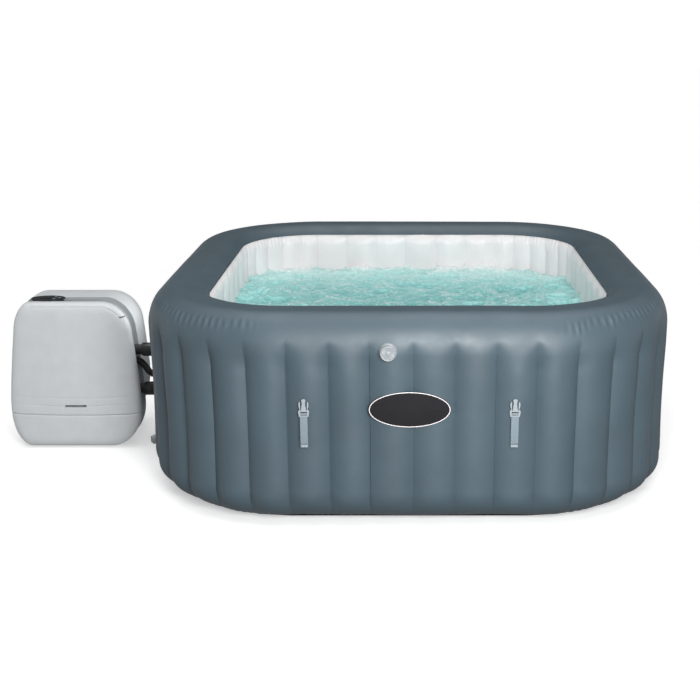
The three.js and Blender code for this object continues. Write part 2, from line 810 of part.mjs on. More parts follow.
// The darker band between the shells: a wall set in by the channel's depth, with a flange at each side.
function channelShell() {
  const front = PUMP.frontShellBack + 2 * GAP + PUMP.skin;
  const back = PUMP.rearShellFront - GAP;
  const { channel, skin } = PUMP;
  const outside = pumpBlock([[front, 0], [back, 0]]);
  const groove = pumpBlock([[front + skin, -30], [back - skin, -30]])
    .subtract(pumpBlock([[front, channel], [back, channel]]));
  const hollow = pumpBlock([[front - 5, channel + skin], [back + 5, channel + skin]]);
  let shell = outside.subtract(groove).subtract(hollow);
  for (const z of [COUPLING.upperZ, COUPLING.lowerZ]) {
    shell = shell.subtract(cylinder(COUPLING.pipe + GAP, -1090, -1020, "x", [0, COUPLING.y, z], 20));
  }
  return shell.subtract(cylinder(AIR_LINE.hose + GAP, -1090, -1020, "x", [0, AIR_LINE.y, AIR_LINE.pumpZ], 16));
}

function rearShell() {
  const rows = [[PUMP.rearShellFront, 0, 0], [20, 1, 0], [80, 8, 0], [140, 24, 0], [180, 46, 8], [204, 70, 30], [PUMP.back, 95, 60]];
  const inside = rows.map(([y, inset, lift], i) => {
    const last = i === rows.length - 1;
    return [i ? y - (i > 3 ? PUMP.skin : 0) : y - 1, inset + (last ? 0 : PUMP.skin), lift + (last ? 0 : PUMP.skin)];
  });
  let shell = pumpBlock(rows, PUMP.rearCorners).subtract(pumpBlock(inside, PUMP.rearCorners));
  for (let i = 0; i < 6; i++) {
    shell = shell.subtract(box([-1210, 190, 300 + i * 22], [-1130, 230, 308 + i * 22]));
  }
  return shell.subtract(cylinder(10, 190, 230, "y", [-1330, 0, 110], 16));
}

function controlPanel() {
  const { x, y, z } = PANEL;
  const oval = (rx, ry, low, high) => {
    const shape = new THREE.Shape();
    shape.absellipse(0, 0, rx, ry, 0, Math.PI * 2);
    const plate = new THREE.ExtrudeGeometry(shape, { depth: high - low, bevelEnabled: false, curveSegments: 14 });
    return solid(plate.translate(x, 0, low));
  };
  const foot = oval(58, 29.5, PUMP.height - PUMP.channel + GAP, z - 3).translate([0, -104.3, 0]);
  return foot.add(oval(64, 39, z - 3.4, z).translate([0, y, 0]));
}

const displayWindow = () => box([PANEL.x - 26, PANEL.y - 12, PANEL.z + 0.3], [PANEL.x + 12, PANEL.y + 12, PANEL.z + 1.5]);
const BUTTONS = { button_heat: [26, 15], button_bubbles: [42, 0], button_filter: [26, -15] };

function doorLatch() {
  const { x, width, bottom, top, slot } = LATCH;
  const half = width / 2 - GAP;
  const face = box([x - half, -175.4, bottom + GAP], [x + half, -172.6, top - slot]);
  const rib = box([x - half, -175.4, top - slot - 3], [x + half, -168, top - slot]);
  const tongue = box([x - 20, -172.6, DOOR.seamMiddle + 2], [x + 20, -169.4, bottom + 12]);
  return union(face, rib, tongue);
}

// ---------------------------------------------------------------- inside the pump unit

function filterHousing() {
  const { radius: r, mouth, end } = FILTER;
  return turned(
    [
      [r - 4, mouth],
      [r + 12, mouth],
      [r + 12, mouth + 4],
      [r, mouth + 4],
      [r, end],
      [0, end],
      [0, end - 4],
      [r - 4, end - 4],
      [r - 4, mouth],
    ],
    "y",
    [FILTER.x, 0, FILTER.z],
    26,
  );
}

function filterCap() {
  const { mouth } = FILTER;
  const cap = turned(
    [
      [0, mouth - 8],
      [70, mouth - 8],
      [72, mouth - 6],
      [72, mouth - GAP],
      [61, mouth - GAP],
      [61, mouth + 8],
      [0, mouth + 8],
    ],
    "y",
    [FILTER.x, 0, FILTER.z],
    26,
  );
  return cap.add(box([-45, mouth - 16, -5], [45, mouth - 7, 5]).translate([FILTER.x, 0, FILTER.z]));
}

// Pleated paper round a hollow core.
function filterCartridge() {
  const pleats = 18;
  const shape = new THREE.Shape();
  for (let i = 0; i < pleats * 2; i++) {
    const a = (Math.PI * i) / pleats;
    const r = i % 2 ? 50 : 41;
    shape[i ? "lineTo" : "moveTo"](r * Math.cos(a), r * Math.sin(a));
  }
  const core = new THREE.Path();
  core.absarc(0, 0, 20, 0, Math.PI * 2, true);
  shape.holes.push(core);
  const paper = new THREE.ExtrudeGeometry(shape, { depth: 118, bevelEnabled: false, curveSegments: 7 });
  return solid(paper.rotateX(Math.PI / 2).translate(FILTER.x, FILTER.mouth + 8 + GAP + 118, FILTER.z));
}

// The bowl the impeller turns in, with its suction pipe from the filter housing and its outlet to the heater.
function circulatorVolute() {
  const { x, z, front, volute: r } = CIRCULATOR;
  const bowl = turned(
    [[12, front], [r, front], [r, front + 38], [r - 5, front + 38], [r - 5, front + 5], [12, front + 5], [12, front]],
    "y",
    [x, 0, z],
    24,
  );
  const outlet = cylinder(HOSE + 3, r - 4, r + 14, "x", [x, front + 22, z], 16);
  const suction = tube(
    [
      [x, front + 3, z],
      [x, front - 10, z],
      [x, front - 32, z + 10],
      [x, front - 38, z + 60],
      [x, front - 38, FILTER.z - FILTER.radius - 1],
    ],
    HOSE,
    12,
    12,
  );
  return union(bowl, outlet, suction).subtract(cylinder(HOSE - 4, r - 12, r + 20, "x", [x, front + 22, z], 12));
}

function impeller(radius, from, to, axis, at, blades, shaft) {
  let wheel = cylinder(radius, to - 4, to, axis, at, 20).add(cylinder(radius * 0.25, from, to, axis, at, 12));
  wheel = wheel.add(cylinder(5, to - 1, to + shaft, axis, at, 10));
  for (let i = 0; i < blades; i++) {
    const angle = (360 * i) / blades;
    const blade = axis === "y" ? box([0, from, -1.5], [radius - 1, to - 3, 1.5]) : box([0, -1.5, from], [radius - 1, 1.5, to - 3]);
    wheel = wheel.add(blade.rotate(axis === "y" ? [0, angle, 0] : [0, 0, angle]).translate(at));
  }
  return wheel;
}

const waterImpeller = () =>
  impeller(46, CIRCULATOR.front + 8, CIRCULATOR.front + 34, "y", [CIRCULATOR.x, 0, CIRCULATOR.z], 6, 40);

// The motor's flange closes the bowl behind the impeller, and its shaft bore is open.
function circulatorMotor() {
  const from = CIRCULATOR.front + 38 + GAP;
  const { motor: r, volute } = CIRCULATOR;
  return turned(
    [
      [5.6, from],
      [volute, from],
      [volute, from + 5],
      [r, from + 5],
      [r, from + 68],
      [r - 10, from + 78],
      [0, from + 78],
      [0, from + 40],
      [5.6, from + 40],
      [5.6, from],
    ],
    "y",
    [CIRCULATOR.x, 0, CIRCULATOR.z],
    24,
  );
}

function heaterTube() {
  const { radius: r, bottom, top } = HEATER;
  return turned(
    [
      [HOSE + 1, bottom],
      [r + 8, bottom],
      [r + 8, bottom + 6],
      [r, bottom + 6],
      [r, top - 6],
      [r + 8, top - 6],
      [r + 8, top],
      [HOSE + 1, top],
      [HOSE + 1, top - 3],
      [r - 3, top - 3],
      [r - 3, bottom + 3],
      [HOSE + 1, bottom + 3],
      [HOSE + 1, bottom],
    ],
    "z",
    [HEATER.x, HEATER.y, 0],
    22,
  );
}

function blowerHousing() {
  const { x, y, z, radius: r, depth } = BLOWER;
  const low = z - depth / 2;
  const bowl = turned(
    [[22, low], [r, low], [r, low + depth - 5], [r - 4, low + depth - 5], [r - 4, low + 4], [22, low + 4], [22, low]],
    "z",
    [x, y, 0],
    24,
  );
  return bowl.add(cylinder(17, -r - 12, -r + 3, "y", [x, y, z], 16)).subtract(cylinder(13, -r - 20, -r + 10, "y", [x, y, z], 12));
}

const blowerFan = () => impeller(48, BLOWER.z - 18, BLOWER.z + 14, "z", [BLOWER.x, BLOWER.y, 0], 8, 34);

// The motor's flange is the blower's lid.
const blowerMotor = () =>
  turned(
    [
      [5.6, 20.4],
      [BLOWER.radius, 20.4],
      [BLOWER.radius, 25],
      [30, 25],
      [30, 50],
      [24, 56],
      [0, 56],
      [0, 50],
      [5.6, 50],
      [5.6, 20.4],
    ],
    "z",
    [BLOWER.x, BLOWER.y, BLOWER.z],
    20,
  );

// A spigot through the channel wall: a flange inside the wall, and a collar for the coupling nut.
function pumpSpigot(height, wallX) {
  const p = COUPLING.pipe;
  return turned(
    [
      [p - 4, wallX - 34],
      [p, wallX - 34],
      [p, -1017],
      [COUPLING.collar, -1016],
      [COUPLING.collar, COUPLING_FACE],
      [p - 4, COUPLING_FACE],
      [p - 4, wallX - 34],
    ],
    "x",
    [0, COUPLING.y, height],
    22,
  );
}

const hose = (points) => tube(points, HOSE, 12, 10);

const HOSES = {
  suction_hose: [
    [-1074, COUPLING.y, COUPLING.lowerZ],
    [-1150, -98, 224],
    [-1240, -80, 232],
    [-1310, -70, 246],
    [FILTER.x + 3, -66, 262],
    [FILTER.x, -66, 272],
    [FILTER.x, -66, FILTER.z - FILTER.radius - GAP],
  ],
  heater_hose: [
    [CIRCULATOR.x + CIRCULATOR.volute + 14 + GAP, CIRCULATOR.front + 22, CIRCULATOR.z],
    [-1262, CIRCULATOR.front + 22, CIRCULATOR.z],
    [-1225, 38, 126],
    [-1160, 50, 108],
    [-1120, 59, 112],
    [HEATER.x, HEATER.y, 130],
    [HEATER.x, HEATER.y, HEATER.bottom - GAP],
  ],
  outlet_hose: [
    [HEATER.x, HEATER.y, HEATER.top + GAP],
    [HEATER.x, HEATER.y - 4, HEATER.top + 16],
    [HEATER.x, 20, HEATER.top + 26],
    [HEATER.x, -50, 420],
    [-1108, -96, 390],
    [-1096, COUPLING.y, COUPLING.upperZ],
    [-1082, COUPLING.y, COUPLING.upperZ],
  ],
  air_duct: [
    [BLOWER.x, BLOWER.y - BLOWER.radius - 12 - GAP, BLOWER.z],
    [BLOWER.x, -26, BLOWER.z],
    [BLOWER.x, -46, BLOWER.z - 8],
    [BLOWER.x, -78, 440],
    [-1180, -100, 378],
    [-1156, AIR_LINE.y, 344],
    [-1110, AIR_LINE.y, AIR_LINE.pumpZ],
    [-1074.5, AIR_LINE.y, AIR_LINE.pumpZ],
  ],
};

function controlBoard() {
  const [x, y, z] = [-1345, -10, 526];
  let board = box([x - 50, y - 40, z], [x + 50, y + 40, z + 2]);
  for (const sx of [-1, 1]) {
    for (const sy of [-1, 1]) {
      board = board.add(cylinder(4, z + 1, z + 42, "z", [x + sx * 42, y + sy * 32, 0], 8));
    }
  }
  for (const [dx, dy, w, h] of [[-25, 10, 24, 16], [12, -12, 30, 14], [30, 18, 14, 20]]) {
    board = board.add(box([x + dx - w / 2, y + dy - 8, z - h], [x + dx + w / 2, y + dy + 8, z + 1]));
  }
  return board;
}

const cableGland = () =>
  turned(
    [[5, 205], [9.6, 205], [9.6, PUMP.back + GAP], [14, PUMP.back + GAP], [14, PUMP.back + 8], [9, PUMP.back + 14], [5, PUMP.back + 14], [5, 205]],
    "y",
    [-1330, 0, 110],
    16,
  );

// ---------------------------------------------------------------- assembly

add("base_sheet", sheet(110, 0, 2.6), "basePvc");
add("tub_floor", sheet(TUB.wall + 3, 3, FLOOR_TOP), "linerPvc");
add("outer_wall", outerWall(), "wallPvc");
add("top_collar", topCollar(), "wallPvc");
add("inner_wall", innerWall(), "linerPvc");
add("wall_baffles", wallBaffles(), "linerPvc");
add("jet_supply_loop", jetSupplyLoop(), "whitePlastic");
JETS.forEach((jet, i) => add(`jet_nozzle_${i + 1}`, jetNozzle(jet), "whitePlastic"));
add("air_channel", airChannel(), "linerPvc");
add("outlet_wall_fitting", wallFitting(COUPLING.upperZ, -(TUB.half - JET.loopOffset) - 18), "blackPlastic");
add("suction_wall_fitting", wallFitting(COUPLING.lowerZ, INSIDE_WALL + 1), "blackPlastic");
add("outlet_coupling_nut", couplingNut(COUPLING.upperZ), "blackPlastic");
add("suction_coupling_nut", couplingNut(COUPLING.lowerZ), "blackPlastic");
add("suction_screen", suctionScreen(), "whitePlastic");
add("air_wall_fitting", airWallFitting(), "blackPlastic");
add("air_hose_collar", airNut(), "blackPlastic");
add("air_valve_body", airValveBody(), "whitePlastic");
add("air_valve_cap", airValveCap(), "whitePlastic");
add("drain_valve_body", drainValveBody(), "whitePlastic");
add("drain_valve_cap", drainCap(), "whitePlastic");
add("badge_plate", badgePlate(), "badge");
for (const [side, label] of [[-1, "left"], [1, "right"]]) {
  add(`cover_strap_${label}`, coverStrap(side), "webbing");
  add(`cover_buckle_${label}`, coverBuckle(side), "housing");
}

add("rear_shell", rearShell(), "housing");
add("channel_shell", channelShell(), "channel");
add("lower_front_shell", lowerFrontShell(), "housing");
add("carry_handle", carryHandle(), "housing");
add("service_door", serviceDoor(), "housing");
add("door_latch", doorLatch(), "housing");
add("control_panel", controlPanel(), "blackGloss");
add("display_window", displayWindow(), "blackGloss");
for (const [name, [dx, dy]] of Object.entries(BUTTONS)) {
  add(name, cylinder(5.5, 0.8, 2.4, "z", [PANEL.x + dx, PANEL.y + dy, PANEL.z], 14), "greyPlastic");
}
for (const [label, y, right] of [["front", -50, 115], ["rear", 130, -5]]) {
  const strip = box([PUMP.x - 130, y - 12, 0], [PUMP.x + right, y + 12, PUMP.bottom - GAP]);
  add(`rubber_foot_${label}`, strip, "rubber");
}
add("outlet_spigot", pumpSpigot(COUPLING.upperZ, -1047), "blackPlastic");
add("suction_spigot", pumpSpigot(COUPLING.lowerZ, -1038), "blackPlastic");
add("filter_housing", filterHousing(), "greyPlastic");
add("filter_cap", filterCap(), "greyPlastic");
add("filter_cartridge", filterCartridge(), "filterPaper");
add("circulator_volute", circulatorVolute(), "blackPlastic");
add("circulator_impeller", waterImpeller(), "whitePlastic");
add("circulator_motor", circulatorMotor(), "steel");
add("heater_tube", heaterTube(), "steel");
add("blower_housing", blowerHousing(), "blackPlastic");
add("blower_fan", blowerFan(), "whitePlastic");
add("blower_motor", blowerMotor(), "steel");
add("control_board", controlBoard(), "greyPlastic");
add("cable_gland", cableGland(), "blackPlastic");
add("air_hose", airHose(), "blackPlastic");
for (const [name, points] of Object.entries(HOSES)) add(name, hose(points), "rubber");

export default hotTub;
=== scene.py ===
import math

import bmesh
import bpy
import numpy as np
from mathutils import Euler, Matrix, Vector
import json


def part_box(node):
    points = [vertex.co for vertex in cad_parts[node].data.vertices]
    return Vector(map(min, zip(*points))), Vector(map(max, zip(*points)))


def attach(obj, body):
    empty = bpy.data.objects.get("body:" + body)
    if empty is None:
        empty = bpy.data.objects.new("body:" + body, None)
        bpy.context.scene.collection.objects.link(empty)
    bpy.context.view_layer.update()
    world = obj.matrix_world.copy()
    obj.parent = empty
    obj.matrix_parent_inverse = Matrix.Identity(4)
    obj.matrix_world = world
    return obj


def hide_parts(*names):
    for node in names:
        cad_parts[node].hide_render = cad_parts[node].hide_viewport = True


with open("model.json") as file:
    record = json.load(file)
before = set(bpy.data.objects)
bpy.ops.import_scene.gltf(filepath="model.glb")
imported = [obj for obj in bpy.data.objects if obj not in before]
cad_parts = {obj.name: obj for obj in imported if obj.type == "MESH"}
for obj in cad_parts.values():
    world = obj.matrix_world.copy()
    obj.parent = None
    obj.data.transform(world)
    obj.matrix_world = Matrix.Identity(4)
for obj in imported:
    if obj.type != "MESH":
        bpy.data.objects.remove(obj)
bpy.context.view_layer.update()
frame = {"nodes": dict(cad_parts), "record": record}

# ---------------------------------------------------------------- the shapes' driving dimensions

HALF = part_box("outer_wall")[1].x
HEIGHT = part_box("top_collar")[1].z
CORNER = 0.504  # plan radius of the outside corners
WALL = 0.223  # from the outside wall to the inside one
FOOT = (0.165, 0.120)  # width and height of the rounding at the floor
SHOULDER = (0.090, 0.125)  # width and height of the rounding outside the top
LIP = 0.084  # radius of the rounding inside the top
WAIST = 0.004  # how far the wall is drawn in at half height
STRAIGHT = HALF - CORNER
ARC = CORNER * math.pi / 2
SIDE = 2 * STRAIGHT + ARC
RIB_PHASE = 0.013  # the first seam, from the middle of the front
RIBS_PER_SIDE = 12
RIB = SIDE / RIBS_PER_SIDE
RIB_DEPTH, LINER_RIB_DEPTH = 0.021, 0.014  # how far the seams lie in from the ribs
CREST = 0.004  # how far the middle of a rib stands out
DIMPLE, DIMPLE_Z = 0.0018, 0.606  # depth and height of the dimple at the top of a seam
OUTER_SEAM = 26  # degrees up the shoulder
INNER_SEAM = 35  # degrees up the lip
SKIN = 0.0012  # thickness of the sheets
WATER_LEVEL = 0.507

# ---------------------------------------------------------------- camera

CAMERA_DISTANCE, CAMERA_HEIGHT, CAMERA_PITCH = 4.274, 1.588, 16.23
CAMERA_LENS, CAMERA_SHIFT = 58.54, -0.083


def placed(name, data):
    """A new object in the scene."""
    made = bpy.data.objects.new(name, data)
    bpy.context.scene.collection.objects.link(made)
    return made


cam_data = bpy.data.cameras.new("camera")
cam_data.sensor_width = 36
cam_data.lens = CAMERA_LENS
cam_data.shift_x = CAMERA_SHIFT
camera = placed("camera", cam_data)
camera.location = (0, -CAMERA_DISTANCE, CAMERA_HEIGHT)
camera.rotation_euler = Euler((math.radians(90 - CAMERA_PITCH), 0, 0))
bpy.context.scene.camera = camera

# ---------------------------------------------------------------- materials


def srgb(r, g, b):
    def channel(c):
        c /= 255
        return c / 12.92 if c <= 0.04045 else ((c + 0.055) / 1.055) ** 2.4

    return (channel(r), channel(g), channel(b), 1.0)


def feed(tree, socket, value):
    """Give an input a number or a colour, or link a node's output to it."""
    if isinstance(value, bpy.types.NodeSocket):
        tree.links.new(value, socket)
    else:
        socket.default_value = value


def map_range(tree, source, start, stop, low, high):
    made = tree.nodes.new("ShaderNodeMapRange")
    inputs = {"Value": source, "From Min": start, "From Max": stop, "To Min": low, "To Max": high}
    for key, value in inputs.items():
        feed(tree, made.inputs[key], value)
    return made.outputs[0]


class Shader:
    """A principled material with small helpers for its procedural inputs."""

    def __init__(self, name, **sockets):
        self.material = bpy.data.materials.new(name)
        self.material.use_nodes = True
        self.tree = self.material.node_tree
        self.bsdf = self.tree.nodes["Principled BSDF"]
        self.coords = self.tree.nodes.new("ShaderNodeTexCoord").outputs["Object"]
        self.normal = None
        for key, value in sockets.items():
            self.bsdf.inputs[key.replace("_", " ")].default_value = value

    def node(self, kind, links=None, **values):
        made = self.tree.nodes.new(kind)
        for key, value in values.items():
            if hasattr(made, key):
                setattr(made, key, value)
            else:
                made.inputs[key.replace("_", " ")].default_value = value
        for key, source in (links or {}).items():
            self.tree.links.new(source, made.inputs[key])
        return made

    def along(self, axis):
        return self.node("ShaderNodeSeparateXYZ", {"Vector": self.coords}).outputs[axis]

    def noise(self, scale, detail=3, rough=0.5, stretch=None, distortion=0.0):
        vector = self.coords
        if stretch:
            vector = self.node("ShaderNodeMapping", {"Vector": vector}, Scale=stretch).outputs[0]
        values = {"Scale": scale, "Detail": detail, "Roughness": rough, "Distortion": distortion}
        return self.node("ShaderNodeTexNoise", {"Vector": vector}, **values).outputs["Fac"]

    def voronoi(self, scale):
        return self.node("ShaderNodeTexVoronoi", {"Vector": self.coords}, Scale=scale).outputs["Distance"]

    def wave(self, scale, direction):
        made = self.node("ShaderNodeTexWave", {"Vector": self.coords}, bands_direction=direction, Scale=scale)
        return made.outputs["Fac"]

    def ranged(self, source, low, high, start=0.3, stop=0.7):
        return map_range(self.tree, source, start, stop, low, high)

    def mixed(self, factor, a, b):
        made = self.tree.nodes.new("ShaderNodeMix")
        made.data_type = "RGBA"
        for socket, value in ((made.inputs["Factor"], factor), (made.inputs[6], a), (made.inputs[7], b)):
            feed(self.tree, socket, value)
        return made.outputs[2]

    def math(self, operation, a, b):
        made = self.tree.nodes.new("ShaderNodeMath")
        made.operation = operation
        for socket, value in zip(made.inputs, (a, b)):
            feed(self.tree, socket, value)
        return made.outputs[0]

    def link(self, source, socket):
        self.tree.links.new(source, self.bsdf.inputs[socket])

    def bump(self, height, strength, distance):
        made = self.node("ShaderNodeBump", {"Height": height}, Strength=strength, Distance=distance)
        if self.normal is not None:
            self.tree.links.new(self.normal, made.inputs["Normal"])
        self.normal = made.outputs[0]
        self.tree.links.new(self.normal, self.bsdf.inputs["Normal"])


def shade(color, factor):
    return tuple(min(c * factor, 1.0) for c in color[:3]) + (1.0,)


def pvc(name, color, rough, weave, gloss=0.45, foot=1.0):
    """Welded PVC sheet: satin, faintly mottled, with a fine print, and painted shade that darkens its colour by
    the factor `foot` towards the floor.
    """
    s = Shader(name, Specular_IOR_Level=gloss)
    sheet = s.mixed(s.ranged(s.noise(6, 4), 0, 1), shade(color, 0.93), shade(color, 1.06))
    # painted shade: the base colour falls to `foot` times its tone from z 0.105 down to 0.005, standing in for the
    # contact shadow at the floor
    lower = s.ranged(s.along("Z"), 0, 1, start=0.005, stop=0.105)
    s.link(s.mixed(lower, shade(color, foot), sheet), "Base Color")
    s.link(s.ranged(s.noise(14, 3), rough - 0.05, rough + 0.06), "Roughness")
    s.bump(s.noise(weave, 2, 0.6), 0.25, 0.0004)
    s.bump(s.noise(9, 3, 0.55), 0.35, 0.004)
    return s.material


def moulded(name, color, rough, grain=1400, sparkle=0.18):
    """Injection-moulded plastic with a fine etched grain and faint flow marks."""
    s = Shader(name)
    s.link(s.mixed(s.ranged(s.noise(18, 3), 0, 1), shade(color, 0.965), shade(color, 1.025)), "Base Color")
    s.link(s.ranged(s.noise(40, 3), rough - 0.04, rough + 0.05), "Roughness")
    s.bump(s.noise(grain, 2, 0.7), sparkle, 0.0003)
    s.bump(s.noise(7, 2), 0.1, 0.002)
    return s.material


def webbing(name, color):
    """Woven polyester tape: crossing yarns with a slightly darker gap between them."""
    s = Shader(name, Roughness=0.8, Sheen_Weight=0.35, Sheen_Roughness=0.4)
    weave = s.math("MULTIPLY", s.wave(260, "X"), s.wave(330, "Z"))
    s.link(s.mixed(s.ranged(weave, 0, 1, 0.05, 0.7), shade(color, 0.62), shade(color, 1.12)), "Base Color")
    s.bump(weave, 0.7, 0.0006)
    s.bump(s.noise(900, 2), 0.3, 0.0002)
    return s.material


def brushed(name, color, rough):
    """Steel with fine streaks."""
    s = Shader(name, Metallic=1.0)
    streaks = s.noise(60, 4, 0.6, stretch=(1, 1, 14))
    s.link(s.mixed(s.ranged(streaks, 0, 1), shade(color, 0.85), shade(color, 1.08)), "Base Color")
    s.link(s.ranged(streaks, rough - 0.08, rough + 0.1), "Roughness")
    s.bump(streaks, 0.15, 0.0002)
    return s.material


def pleated(name, color):
    """Matt filter paper."""
    s = Shader(name, Roughness=0.92)
    s.link(s.mixed(s.ranged(s.noise(120, 4), 0, 1), shade(color, 0.88), shade(color, 1.02)), "Base Color")
    s.bump(s.noise(2200, 3, 0.8), 0.6, 0.0004)
    return s.material


def water(name):
    """Bubbling water: turquoise in the hollows, pale in the crests, white with froth at the back."""
    s = Shader(name, IOR=1.33, Coat_Weight=0.6, Coat_Roughness=0.03, Specular_IOR_Level=0.6)
    rim = s.ranged(s.along("Y"), 0.0, 0.27, start=0.36, stop=0.64)
    lift = s.ranged(s.along("Z"), -0.16, 0.30, start=WATER_LEVEL - 0.012, stop=WATER_LEVEL + 0.024)
    churn = s.math("MULTIPLY", s.noise(24, 6, 0.7, distortion=1.2), 0.55)
    fine = s.math("MULTIPLY", s.noise(95, 5, 0.75, distortion=2.0), 0.4)
    air = s.math("ADD", s.math("ADD", s.math("ADD", churn, fine), lift), rim)
    deep, body = srgb(112, 188, 187), srgb(151, 217, 214)
    pale, froth = srgb(186, 229, 226), srgb(242, 249, 248)
    color = s.mixed(s.ranged(air, 0, 1, 0.36, 0.58), deep, body)
    color = s.mixed(s.ranged(air, 0, 1, 0.62, 0.86), color, pale)
    color = s.mixed(s.ranged(air, 0, 1, 0.92, 1.06), color, froth)
    s.link(color, "Base Color")
    s.link(s.ranged(air, 0.08, 0.55, 0.6, 1.0), "Roughness")
    s.bump(s.noise(55, 5, 0.7, distortion=1.0), 0.55, 0.006)
    s.bump(s.voronoi(210), 0.25, 0.002)
    return s.material


MATERIALS = {
    # foot=0.75 paints shade on the outer wall's lowest 0.1 m
    "wall_pvc": pvc("wall_pvc", srgb(68, 86, 96), 0.52, 1100, gloss=0.8, foot=0.75),
    "liner_pvc": pvc("liner_pvc", srgb(253, 244, 245), 0.38, 1100),
    "base_pvc": pvc("base_pvc", srgb(48, 54, 58), 0.6, 700),
    "housing": moulded("housing", srgb(206, 210, 212), 0.55),
    "channel": moulded("channel", srgb(157, 162, 165), 0.55),
    "black_gloss": moulded("black_gloss", srgb(30, 36, 38), 0.12, sparkle=0.02),
    "black_plastic": moulded("black_plastic", srgb(30, 31, 33), 0.42),
    "white_plastic": moulded("white_plastic", srgb(152, 158, 162), 0.3),
    "buckle": moulded("buckle", srgb(158, 166, 172), 0.4),
    "badge": pvc("badge", srgb(24, 23, 27), 0.5, 900, gloss=0.3),
    "webbing": webbing("webbing", srgb(150, 166, 176)),
    # painted highlight: a lighter copy of the webbing for the hem's folded end
    "hem_painted_highlight": webbing("hem_painted_highlight", srgb(184, 198, 206)),
    # a darker copy of the webbing: real stitching, and painted shade along the line above the hem
    "stitch_painted_shade": webbing("stitch_painted_shade", srgb(84, 98, 106)),
    "rubber": moulded("rubber", srgb(28, 28, 30), 0.75, 900, 0.35),
    "steel": brushed("steel", srgb(190, 192, 196), 0.3),
    "filter_paper": pleated("filter_paper", srgb(236, 238, 238)),
    "grey_plastic": moulded("grey_plastic", srgb(112, 120, 124), 0.45),
}
SLOT_OF = {p["node"]: p["material_slot"] for p in frame["record"]["subparts"]}

# ---------------------------------------------------------------- mesh helpers


def shaded(mesh, smooth):
    mesh.polygons.foreach_set("use_smooth", [smooth] * len(mesh.polygons))


def bevelled(made, width, angle):
    edge = made.modifiers.new("edge", "BEVEL")
    edge.width = width
    edge.segments = 2
    edge.limit_method = "ANGLE"
    edge.angle_limit = math.radians(angle)
    return edge


# Carried-over CAD nodes: rounded edges and their slot's material.
for name, node in frame["nodes"].items():
    node.data.materials.clear()
    node.data.materials.append(MATERIALS[SLOT_OF[name]])
    shaded(node.data, smooth=True)
    bevelled(node, 0.0006, 38).harden_normals = True


def dressed(made, slot, body, replaces=(), material=None):
    """Give a piece its material (its slot's, unless another is given), shade it smooth, attach it to its body, and
    hide the CAD nodes that it stands for.
    """
    made.data.materials.clear()
    made.data.materials.append(material or MATERIALS[slot])
    shaded(made.data, smooth=True)
    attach(made, body)
    if replaces:
        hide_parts(*replaces)
    return made


def piece(name, points, faces, slot, body, replaces=(), material=None):
    mesh = bpy.data.meshes.new(name)
    mesh.from_pydata([tuple(p) for p in points], [], faces)
    mesh.validate()
    return dressed(placed(name, mesh), slot, body, replaces, material)


def turn(count):
    """Angles evenly round a circle."""
    return [2 * math.pi * k / count for k in range(count)]


def grid_faces(rows, columns, wrap=False, offset=0):
    """Quads over rows x columns points, the columns joined end to end when wrap is set."""
    faces = []
    for r in range(rows - 1):
        for c in range(columns if wrap else columns - 1):
            d = (c + 1) % columns
            low, high = offset + r * columns, offset + (r + 1) * columns
            faces.append((low + c, low + d, high + d, high + c))
    return faces


def smoothstep(x, low, high):
    t = np.clip((x - low) / (high - low), 0, 1)
    return t * t * (3 - 2 * t)


LATTICE = 256  # points of the noise each way


def wander(u, v, scale, seed, around=None):
    """Smooth seeded noise from -1 to 1 over the plane, in lumps about `scale` wide.

    It repeats after `around` in u when that is given.
    """
    lattice = np.random.default_rng(seed).uniform(-1, 1, (LATTICE, LATTICE))
    cells = round(around / scale) if around else LATTICE
    step = around / cells if around else scale
    x, y = np.broadcast_arrays(np.asarray(u) / step, np.asarray(v) / scale)
    x0, y0 = np.floor(x).astype(int), np.floor(y).astype(int)
    fx, fy = x - x0, y - y0
    fx, fy = fx * fx * (3 - 2 * fx), fy * fy * (3 - 2 * fy)

    def at(i, j):
        return lattice[(x0 + i) % cells % LATTICE, (y0 + j) % LATTICE]

    near = at(0, 0) * (1 - fx) + at(1, 0) * fx
    far = at(0, 1) * (1 - fx) + at(1, 1) * fx
    return near * (1 - fy) + far * fy


# ---------------------------------------------------------------- the tub's plan outline and wall profile


def outline(u):
    """Point and outward normal on the outside wall, u metres round from the middle of the -Y side."""
    u = np.mod(u, 4 * SIDE)
    side = np.floor(u / SIDE)
    t = u - side * SIDE
    a = (np.clip(t, STRAIGHT, STRAIGHT + ARC) - STRAIGHT) / CORNER - math.pi / 2
    x = STRAIGHT + CORNER * np.cos(a) + np.minimum(t - STRAIGHT, 0)
    y = -STRAIGHT + CORNER * np.sin(a) + np.maximum(t - STRAIGHT - ARC, 0)
    nx, ny = np.cos(a), np.sin(a)
    c, s = np.cos(side * math.pi / 2), np.sin(side * math.pi / 2)
    return c * x - s * y, s * x + c * y, c * nx - s * ny, s * nx + c * ny


def columns_round():
    """Columns round the tub, closer together beside each rib seam."""
    inside = np.concatenate([[0, 0.01, 0.025, 0.05], np.arange(0.085, 0.93, 0.035), [0.95, 0.975, 0.99]])
    return np.concatenate([RIB_PHASE + (i + inside) * RIB for i in range(4 * RIBS_PER_SIDE)])


U = columns_round()
UX, UY, UNX, UNY = outline(U)
FROM_SEAM = np.mod(U - RIB_PHASE, RIB) / RIB  # 0 and 1 at a rib's seams
RIB_NUMBER = np.floor((U - RIB_PHASE) / RIB).astype(int)
in_corner = np.mod(U, SIDE) - STRAIGHT  # metres past a corner's start
